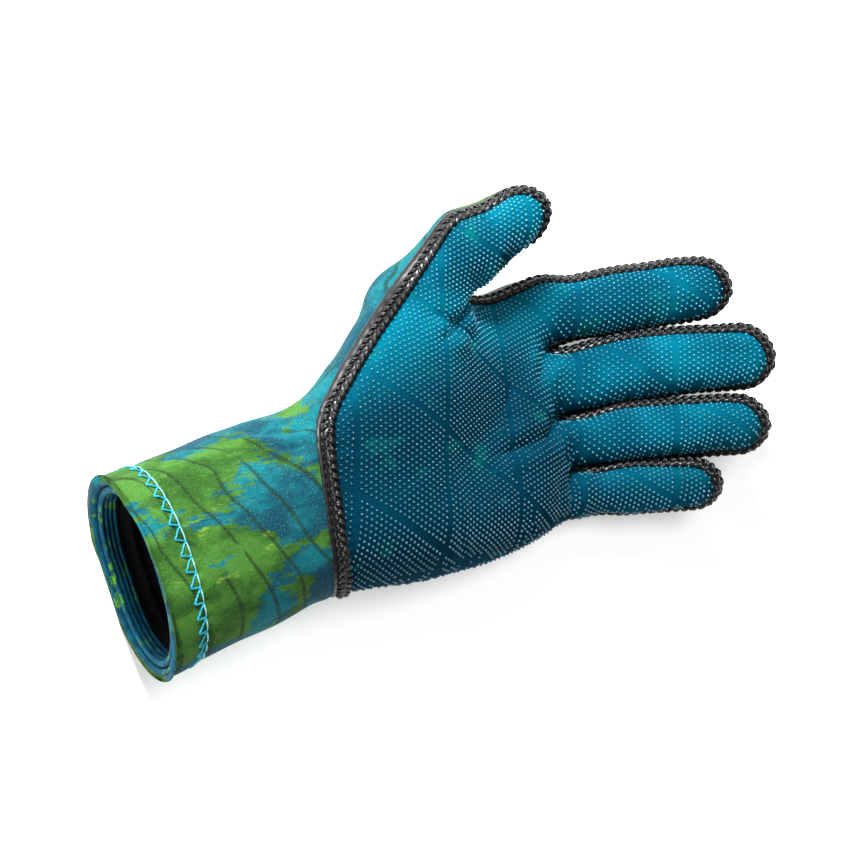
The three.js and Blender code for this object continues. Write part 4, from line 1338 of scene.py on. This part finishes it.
class GLOVE_OT_grip_dots(bpy.types.Operator):
    """Grip dots: staggered rubber drops on the palm sheet, with straight bare channels."""

    bl_idname = "glove.grip_dots"
    bl_label = "Grip dots"

    # How far the rows run off the hand's length in degrees, as the sheet was cut, the bare margin beside the
    # seams in millimetres, the least gap between two dots as a share of their pitch, and the sides of a dot.
    ROW_TURN = 12
    MARGIN = 0.35
    LEAST_GAP = 0.8
    SIDES = 7

    def execute(self, context):
        sizes = context.scene.glove_sizes
        pitch = sizes.dot_pitch / MM
        face = surface()
        chosen = face.regions < 10
        quads, cut, region = face.faces[chosen], face.cut[chosen], face.regions[chosen]
        corners = np.concatenate([quads[:, [0, 1, 2]], quads[:, [0, 2, 3]]])
        flat = np.concatenate([cut[:, [0, 1, 2]], cut[:, [0, 2, 3]]])
        region = np.concatenate([region, region])
        turn = math.radians(self.ROW_TURN)
        way = np.array([[math.cos(turn), -math.sin(turn)], [math.sin(turn), math.cos(turn)]])
        flat = flat @ way
        spacing = np.array([pitch, pitch * math.sqrt(3)])
        places, normals, rows = [], [], []
        for half in (0.0, 0.5):
            start = spacing * half
            step = np.round((flat.mean(1) - start) / spacing)
            target = start + step * spacing
            a, b, c = flat[:, 0], flat[:, 1], flat[:, 2]
            area = np.cross(b - a, c - a)
            area = np.where(np.abs(area) < 1e-9, 1e-9, area)
            v = np.cross(target - a, c - a) / area
            w = np.cross(b - a, target - a) / area
            u = 1 - v - w
            hit = (u >= 0) & (v >= 0) & (w >= 0)
            key = np.stack([step[hit][:, 0], step[hit][:, 1], region[hit]], 1)
            _, first = np.unique(key, axis=0, return_index=True)
            weights = np.stack([u, v, w], 1)[hit][first]
            picked = corners[hit][first]
            places.append((face.points[picked] * weights[:, :, None]).sum(1))
            normals.append(unit((face.normals[picked] * weights[:, :, None]).sum(1)))
            away = (face.border_distance[picked] * weights).sum(1)
            index = 2 * step[hit][first] + 2 * half
            rows.append(np.column_stack([index, away]))
        places, normals, rows = (np.concatenate(part) for part in (places, normals, rows))
        channel = 2 * sizes.channel_rows
        first_way = np.mod(rows[:, 0] + rows[:, 1], channel)
        second_way = np.mod(rows[:, 0] - rows[:, 1], channel)
        clear = rows[:, 2] > sizes.seam_width / MM / 2 + self.MARGIN
        kept = (first_way != 0) & (second_way != 0) & clear
        places, normals = places[kept], normals[kept]
        apart = self.uncrowded(places, self.LEAST_GAP * pitch)
        self.build(places[apart], normals[apart], sizes)
        return {"FINISHED"}

    @staticmethod
    def uncrowded(places, gap):
        """Indices of dots that leave a gap to each other: where the cloth gathers, the rest are left out."""
        tree = KDTree(len(places))
        for k, place in enumerate(places):
            tree.insert(place, k)
        tree.balance()
        left = np.ones(len(places), bool)
        for k, place in enumerate(places):
            if left[k]:
                near = [index for _, index, _ in tree.find_range(place, gap)]
                left[near] = False
                left[k] = True
        return left

    def build(self, places, normals, sizes):
        """Small domes, each with a few sides, joined in one mesh."""
        sides = self.SIDES
        across = unit(np.cross(normals, [0.31, 0.95, 0.05]))
        spread = spokes(across, np.cross(normals, across), sides)
        radius, height = sizes.dot_width / MM / 2, sizes.dot_height / MM
        rings = []
        for reach, rise in ((1.0, -0.1), (0.86, 0.5 * height), (0.5, 0.88 * height)):
            rings.append(places[:, None] + spread * radius * reach + normals[:, None] * rise)
        top = places[:, None] + normals[:, None] * height
        points = np.concatenate(rings + [top], 1)
        each = points.shape[1]
        base = np.arange(len(places))[:, None] * each
        ids = np.arange(sides)
        following = np.roll(ids, -1)
        quads = [np.stack([ids + sides * r, following + sides * r, following + sides * (r + 1),
                           ids + sides * (r + 1)], 1) for r in range(2)]
        quads = (base[:, None] + np.concatenate(quads)[None]).reshape(-1, 4)
        tips = np.stack([ids + 2 * sides, following + 2 * sides, np.full(sides, 3 * sides)], 1)
        tips = (base[:, None] + tips[None]).reshape(-1, 3)
        floors = base + ids[::-1]
        mesh = make_mesh("grip_dots", points.reshape(-1, 3), quads, tips, floors)
        mesh.materials.append(grip_rubber())
        place_piece("grip_dots", mesh, "palm_neoprene")


class GLOVE_OT_back_panel(bpy.types.Operator):
    """Back sheet: the back of the hand and digits and the cuff, in one print."""

    bl_idname = "glove.back_panel"
    bl_label = "Back sheet"

    def execute(self, context):
        points, quads, triangles, kinds, _ = surface().sheet(palm=False)
        mesh = make_mesh("back_sheet", points, quads, triangles)
        paint(mesh, kinds, printed_jersey(), lining_jersey(), facing_knit(), folded_edge())
        place_piece("back_sheet", mesh, "printed_neoprene", "back_panel")
        return {"FINISHED"}


class GLOVE_OT_hem_facing(bpy.types.Operator):
    """Ribbed facing inside the mouth."""

    bl_idname = "glove.hem_facing"
    bl_label = "Hem facing"

    RIBS, RIB_WIDTH = 4, 0.145

    def section(self):
        """The band's section: share of the way in from the mouth's edge, height over the sheet, material."""
        rows = [(0.0, 0.0, 0), (0.5, 0.0, 0), (1.0, 0.0, 1), (1.0, 0.9, 1), (0.97, 1.2, 1), (0.62, 1.3, 1)]
        for rib in range(self.RIBS - 1, -1, -1):
            middle = (rib + 0.5) * self.RIB_WIDTH
            for aside, height in ((0.5, 1.8), (0.34, 2.5), (0.0, 2.9), (-0.34, 2.5)):
                rows.append((middle + aside * self.RIB_WIDTH, height, 0))
        rows.append((0.0, 1.2, 0))
        return table("along height kind", *rows)

    def execute(self, context):
        face = surface()
        net = face.net
        wall = context.scene.glove_sizes.sheet / MM
        outward = normals_of(net.points, np.array([f if len(f) == 4 else (*f, f[2]) for f in net.faces]))
        rows = [net.ids["palm"][i] + net.ids["back"][i][-2:0:-1] for i in (1, 2, 3)]
        rings = []
        section = self.section()
        for row in section:
            at = row["along"] * 2
            k = min(int(at), 1)
            near, far = np.array(rows[k]), np.array(rows[k + 1])
            depth = wall + FACING_CLEARANCE + row["height"]
            ends = [net.points[ids] - outward[ids] * depth for ids in (near, far)]
            rings.append(ends[0] + (ends[1] - ends[0]) * (at - k))
        rings = np.array(rings)
        ids = np.arange(rings.shape[0] * rings.shape[1]).reshape(rings.shape[:2])
        mesh = make_mesh("facing_band", rings.reshape(-1, 3), quads_between(ids, np.roll(ids, -1, 0)))
        kinds = np.repeat([row["kind"] for row in section], rings.shape[1])
        paint(mesh, kinds, facing_knit(), lining_jersey())
        piece = place_piece("facing_band", mesh, "facing_knit", "hem_facing")
        piece.modifiers.new("Smooth", "SUBSURF").levels = 2
        piece.modifiers["Smooth"].render_levels = 2
        return {"FINISHED"}


class GLOVE_OT_cover_stitch(bpy.types.Operator):
    """Cover stitch round the mouth: a zigzag and the straight thread that locks it."""

    bl_idname = "glove.cover_stitch"
    bl_label = "Cover stitch"

    def execute(self, context):
        sizes = context.scene.glove_sizes
        face = surface()
        turns = face.hem_turns()
        step = turns[1]
        inner = (sizes.hem_width - sizes.hem_reach / 2) / MM
        outer = (sizes.hem_width + sizes.hem_reach / 2) / MM
        radius = sizes.hem_thread / MM / 2
        samples = np.linspace(0, 1, 9)
        first = face.ring_at(outer, turns)
        corner = face.ring_at(inner, turns + 0.78 * step)
        last = np.roll(first, -1, 0)
        legs = []
        for start, end in ((first, corner), (corner, last)):
            legs.append(start[:, None] + (end - start)[:, None] * samples[None, :, None])
        legs = np.concatenate(legs)
        places, ups = face.snap(legs)
        over = radius * (0.35 + 0.75 * np.sin(np.pi * samples))
        places += ups * over[None, :, None]
        places[..., 2] = np.maximum(places[..., 2], radius)
        zigzag = tubes(places, ups, radius)
        fine = np.linspace(0, 1, len(turns) * 6, endpoint=False)
        places, ups = face.snap(face.ring_at(outer, fine))
        dips = 0.25 + 0.6 * np.abs(np.sin(np.pi * np.arange(len(fine)) / 6))
        places += ups * (radius * dips)[:, None]
        places[:, 2] = np.maximum(places[:, 2], radius)
        needle = self.ring_tube(places, ups, radius * 0.75)
        parts = [(*part, np.full(len(part[1]), number)) for number, part in enumerate((zigzag, needle))]
        colours = context.scene.glove_colours
        mesh = join_parts(
            "cover_stitch", parts,
            stitch_thread("textured_nylon_zigzag_thread", colours.stitch, colours.print_teal),
            stitch_thread("textured_nylon_needle_thread", colours.needle, colours.stitch))
        place_piece("cover_stitch", mesh, "printed_neoprene")
        return {"FINISHED"}

    @staticmethod
    def ring_tube(path, ups, radius, sides=6):
        """A tube whose end meets its start."""
        ahead = unit(np.roll(path, -1, 0) - np.roll(path, 1, 0))
        across = unit(np.cross(ahead, ups))
        above = np.cross(across, ahead)
        points = path[:, None] + radius * spokes(across, above, sides)
        ids = np.arange(len(path) * sides).reshape(len(path), sides)
        return points.reshape(-1, 3), quads_between(ids, np.roll(ids, -1, 0)), np.zeros((0, sides), dtype=int)


class GLOVE_OT_seams(bpy.types.Operator):
    """Overlocked seams: a raised core, a chain of thread over it and a smooth strip beside it."""

    bl_idname = "glove.seams"
    bl_label = "Overlocked seams"

    # Steps along a seam and the length over which its strip widens, in millimetres, and how much thicker it
    # is round a digit's tip, as a share, and how far round it, in millimetres.
    STEP = 0.9
    WIDENING = 30
    TIP_SHARE, TIP_REACH = 0.3, 9
    # A strand's length as a share of a stitch, where it starts and how far it crosses as shares of the seam's
    # half width, its gap to the next in radii, and its height over the core and unevenness in millimetres.
    STRAND_RUN = 0.62
    STRAND_START, STRAND_CROSSING = 0.98, 1.12
    STRAND_GAP = 1.55
    STRAND_RISE, MIDDLE_RISE = 0.62, 0.18
    UNEVEN = 0.12

    def execute(self, context):
        for name in surface().runs:
            self.build(name, context.scene.glove_sizes)
        return {"FINISHED"}

    def stations(self, name):
        """Even steps along a seam: places, ways into the palm sheet, and the seam's size at each."""
        face = surface()
        run = face.runs[name]
        if name == "wrist":
            # It runs on under the start of the thumb's seam, so that no gap is left in the corner.
            run = np.concatenate([run, face.runs["thumb"][1:3]])
        length = face.run_lengths(run)
        count = int(length[-1] / self.STEP)
        start, end = SEAM_ENDS[name]
        arc = np.linspace(start["short"], length[-1] - end["short"], count)
        places, ups = on_path(arc, length, face.points[run]), unit(on_path(arc, length, face.normals[run]))
        ahead = unit(np.gradient(places, axis=0))
        into = unit(np.cross(ahead, ups))
        palm = face.points[face.faces[face.regions < 10]].mean(1)
        index, _ = nearest(palm, places[::12])
        if ((palm[index] - places[::12]) * into[::12]).sum() < 0:
            into = -into
        size = np.ones(count)
        for trim, away in ((start, arc - arc[0]), (end, arc[-1] - arc)):
            grow = np.clip(away / trim["reach"], 0, 1)
            size = np.minimum(size, trim["scale"] + (1 - trim["scale"]) * grow * (2 - grow))
        for digit in [*face.net.digits, face.net.thumb]:
            away = np.linalg.norm(places - face.net.points[digit["tip"]], axis=1)
            size *= 1 + self.TIP_SHARE * bell(away / self.TIP_REACH)
        return arc, places, into, size

    def build(self, name, sizes):
        """One seam with its core and its chain of thread."""
        face = surface()
        arc, places, into, size = self.stations(name)
        half = sizes.seam_width / MM / 2
        strip = sizes.strip_width / MM
        widen = 1 + (STRIP_SHARES[name] - 1) * np.clip((arc - arc[0]) / self.WIDENING, 0, 1)
        reach = np.linspace(-half - strip * widen.max() - 0.3, half + 0.3, 19)
        queries = places[:, None] + into[:, None] * reach[None, :, None] * size[:, None, None]
        grid, ups = face.snap(queries)

        def at(arcs, sides, heights):
            """Points at these lengths, sideways distances and heights over the sheet, and the ups there."""
            rows = np.interp(arcs, arc, np.arange(len(arc)))
            columns = np.interp(sides, reach, np.arange(len(reach)))
            i = np.minimum(rows.astype(int), len(arc) - 2)
            j = np.minimum(columns.astype(int), len(reach) - 2)
            u, v = (rows - i)[..., None], (columns - j)[..., None]

            def mixed(values):
                near = values[i, j] * (1 - v) + values[i, j + 1] * v
                far = values[i + 1, j] * (1 - v) + values[i + 1, j + 1] * v
                return near * (1 - u) + far * u

            scale = np.interp(arcs, arc, size)
            up = unit(mixed(ups))
            return mixed(grid) + up * (heights * scale)[..., None], up

        parts = [self.core(at, arc, half, strip, widen, sizes), self.chain(at, arc, half, sizes)]
        mesh = join_parts(f"{name}_overlock", parts, overlock_thread(), edge_strip())
        place_piece(f"{name}_overlock", mesh, "seam_thread", f"{name}_seam")

    def core(self, at, arc, half, strip, widen, sizes):
        """The folded edges under the thread, with the smooth strip on the back sheet's side."""
        height = sizes.seam_height / MM
        low = 0.55
        # Sideways place, height and material of the profile's corners.
        profile = [
            (-half - strip, -0.3, 1), (-half - strip, 0.3, 1), (-half - strip + 0.35, low, 1),
            (-half - strip * 0.5, low + 0.12, 1), (-half - 0.25, low, 1), (-half, 0.25, 0),
            (-half + 0.25, 0.55 * height, 0), (-half * 0.55, 0.9 * height, 0), (0, height, 0),
            (half * 0.55, 0.9 * height, 0), (half - 0.25, 0.5 * height, 0), (half, 0.0, 0), (half, -0.4, 0),
        ]
        sides = np.array([row[0] for row in profile])
        heights = np.array([row[1] for row in profile])
        grid_arc = np.repeat(arc[:, None], len(profile), 1)
        sides = sides + np.minimum(sides + half, 0) * (widen[:, None] - 1)
        points, _ = at(grid_arc, sides, np.broadcast_to(heights, grid_arc.shape))
        ids = np.arange(len(arc) * len(profile)).reshape(len(arc), len(profile))
        near, far = ids[:-1], ids[1:]
        quads = np.stack([near, far, np.roll(far, -1, 1), np.roll(near, -1, 1)], -1).reshape(-1, 4)
        kind = np.tile([row[2] for row in profile], len(arc) - 1)
        if self.inward(points, quads, len(profile)):
            quads = quads[:, ::-1]
            caps = np.stack([ids[0], ids[-1][::-1]])
        else:
            caps = np.stack([ids[0][::-1], ids[-1]])
        return points.reshape(-1, 3), quads, caps, kind

    @staticmethod
    def inward(points, quads, width):
        """Whether these quads face into the ring that they close."""
        flat = points.reshape(-1, 3)
        middle = flat[:width].mean(0)
        first = flat[quads[:width]]
        normals = np.cross(first[:, 2] - first[:, 0], first[:, 3] - first[:, 1])
        return (normals * (first.mean(1) - middle)).sum() < 0

    def chain(self, at, arc, half, sizes):
        """Strands of thread in two leaning rows, three side by side in each stitch."""
        pitch = sizes.seam_pitch / MM
        radius = sizes.seam_thread / MM / 2
        count = int((arc[-1] - arc[0]) / pitch)
        pitch = (arc[-1] - arc[0]) / count
        dice = np.random.default_rng(7)
        share = np.linspace(0, 1, 8)
        paths, ups, widths = [], [], []
        for row, side in ((0, -1), (1, 1)):
            starts = arc[0] + pitch * (np.arange(count) - 0.05 + 0.45 * row)
            for strand in (-1, 0, 1):
                jitter = dice.uniform(-self.UNEVEN, self.UNEVEN, (count, 3))
                start = starts + strand * radius * self.STRAND_GAP + jitter[:, 0]
                arcs = start[:, None] + pitch * self.STRAND_RUN * share[None] ** 1.1
                crossing = half * self.STRAND_CROSSING + jitter[:, 1:2]
                sides = side * (half * self.STRAND_START - crossing * share[None])
                crown = np.sin(np.pi * np.clip(share * 0.8 + 0.12, 0, 1)) ** 0.8
                top = sizes.seam_height / MM + self.STRAND_RISE + self.MIDDLE_RISE * (1 - abs(strand))
                heights = (top + jitter[:, 2:3]) * crown[None] - radius * 0.6
                places, up = at(np.clip(arcs, arc[0], arc[-1]), sides, heights)
                paths.append(places)
                ups.append(up)
                taper = 0.62 + 0.38 * np.sin(np.pi * np.clip(share * 0.9 + 0.05, 0, 1))
                scale = np.interp(arcs, arc, self.strand_scale(arc, at))
                widths.append(radius * taper[None] * scale)
        points, quads, caps = tubes(np.concatenate(paths), np.concatenate(ups), np.concatenate(widths))
        return points, quads, caps, np.zeros(len(quads))

    @staticmethod
    def strand_scale(arc, at):
        """How thick the strands are along the seam, as a share: thinner where the seam narrows."""
        low, _ = at(arc, np.zeros(len(arc)), np.zeros(len(arc)))
        high, _ = at(arc, np.zeros(len(arc)), np.ones(len(arc)))
        return 0.35 + 0.65 * np.linalg.norm(high - low, axis=1)


class GLOVE_OT_stage(bpy.types.Operator):
    """Plain pale floor, soft studio light and the camera."""

    bl_idname = "glove.stage"
    bl_label = "Stage"

    # Soft lights: where each stands over the glove's middle, its size and its power in watts.
    LIGHTS = table(
        "name place width power",
        ("key", (-0.15, 1.0, 0.88), 0.4, 30.5),
        ("top", (0.2, 0.2, 1.6), 0.7, 8),
        ("mouth", (-1.2, -0.3, 0.4), 0.5, 6),
    )
    TARGET = (50.3 - ORIGIN[0], 9.8 - ORIGIN[1], 25.0)
    TILT, LATERAL, ROLL = 25.0, 1.5, 18.7
    DISTANCE = 1300.0
    # The sensor's width and the width that it sees at the target's distance: 860 pixels of 1 / 2.64 mm each.
    SENSOR = 36.0
    SEEN = 860 / 2.64

    # The glove's underside is the floor's plane, so the floor lies a hair lower, in metres.
    FLOOR_LEVEL = -0.0002
    AMBIENT = 0.17

    def execute(self, context):
        self.add_floor(context.scene.glove_colours)
        self.add_lights(context.scene)
        self.add_camera(context.scene)
        return {"FINISHED"}

    def add_floor(self, colours):
        """A square of painted board, wide enough to fill the picture."""
        half = 3000.0
        mesh = make_mesh("floor", [(-half, -half, 0), (half, -half, 0), (half, half, 0), (-half, half, 0)],
                         np.array([[0, 1, 2, 3]]), smooth=False)
        material, add, place = new_material("matt_painted_board")
        grain = add("times", add("noise", place, 1 / 60, 2.0, 0.55), 0.02)
        colour = add("mix", grain, colours.floor, colours.floor_grain)
        # The board glows a little, so it turns white without more light on the glove.
        add("surface", add("shader", colour, 0.9, Emission_Color=colours.floor, Emission_Strength=0.32))
        mesh.materials.append(material)
        floor = bpy.data.objects.new("floor", mesh)
        bpy.context.scene.collection.objects.link(floor)
        floor.location.z = self.FLOOR_LEVEL
        floor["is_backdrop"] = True

    def add_lights(self, scene):
        """Round soft lights that face the glove's middle, an even pale world and the picture's plain view."""
        for row in self.LIGHTS:
            light = bpy.data.lights.new(row["name"], "AREA")
            light.shape = "DISK"
            light.size = row["width"]
            light.energy = row["power"]
            lamp = bpy.data.objects.new(row["name"], light)
            lamp.location = row["place"]
            lamp.rotation_euler = (-Vector(row["place"])).to_track_quat("-Z", "Y").to_euler()
            scene.collection.objects.link(lamp)
        world = bpy.data.worlds.new("studio")
        world.use_nodes = True
        background = world.node_tree.nodes["Background"].inputs
        background["Color"].default_value = (1, 1, 1, 1)
        background["Strength"].default_value = self.AMBIENT
        scene.world = world
        scene.view_settings.view_transform = "Standard"
        scene.view_settings.look = "Medium High Contrast"

    def add_camera(self, scene):
        """The camera over the palm, tilted to the mouth, shifted to the thumb's side and rolled."""
        tilt, lateral, roll = (math.radians(angle) for angle in (self.TILT, self.LATERAL, self.ROLL))
        toward = Vector((-math.sin(tilt), math.sin(lateral) * math.cos(tilt),
                         math.cos(lateral) * math.cos(tilt))).normalized()
        right = (Vector((1, 0, 0)) - toward * toward.x).normalized()
        up = toward.cross(right)
        across = right * math.cos(roll) - up * math.sin(roll)
        above = right * math.sin(roll) + up * math.cos(roll)
        turn = Matrix((across, above, toward)).transposed().to_4x4()
        data = bpy.data.cameras.new("camera")
        data.sensor_width = self.SENSOR
        data.lens = self.SENSOR * self.DISTANCE / self.SEEN
        data.clip_start = 0.05
        data.clip_end = 20
        camera = bpy.data.objects.new("camera", data)
        place = (Vector(self.TARGET) + toward * self.DISTANCE) * MM
        camera.matrix_world = Matrix.Translation(place) @ turn
        scene.collection.objects.link(camera)
        scene.camera = camera


class VIEW3D_PT_glove(bpy.types.Panel):
    """Lists the glove's sizes, colours and pieces."""

    bl_label = "Diving glove"
    bl_space_type = "VIEW_3D"
    bl_region_type = "UI"
    bl_category = "Glove"

    def draw(self, context):
        for group in (context.scene.glove_sizes, context.scene.glove_colours):
            for name in group.__annotations__:
                self.layout.prop(group, name)
        for operator in OPERATORS:
            self.layout.operator(operator.bl_idname)


GROUPS = (GloveSizes, GloveColours)
OPERATORS = (
    GLOVE_OT_stage, GLOVE_OT_palm_panel, GLOVE_OT_grip_dots, GLOVE_OT_back_panel, GLOVE_OT_hem_facing,
    GLOVE_OT_cover_stitch, GLOVE_OT_seams,
)


def register():
    for entry in (*GROUPS, *OPERATORS, VIEW3D_PT_glove):
        bpy.utils.register_class(entry)
    bpy.types.Scene.glove_sizes = PointerProperty(type=GloveSizes)
    bpy.types.Scene.glove_colours = PointerProperty(type=GloveColours)


def unregister():
    del bpy.types.Scene.glove_colours
    del bpy.types.Scene.glove_sizes
    for entry in reversed((*GROUPS, *OPERATORS, VIEW3D_PT_glove)):
        bpy.utils.unregister_class(entry)


def main():
    register()
    for operator in OPERATORS:
        group, name = operator.bl_idname.split(".")
        getattr(getattr(bpy.ops, group), name)()
    boxes = {"cad": CAD_BOX, "visual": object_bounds()}
    {name: [list(corner) for corner in box] for name, box in boxes.items()}


if __name__ == "__main__":
    main()
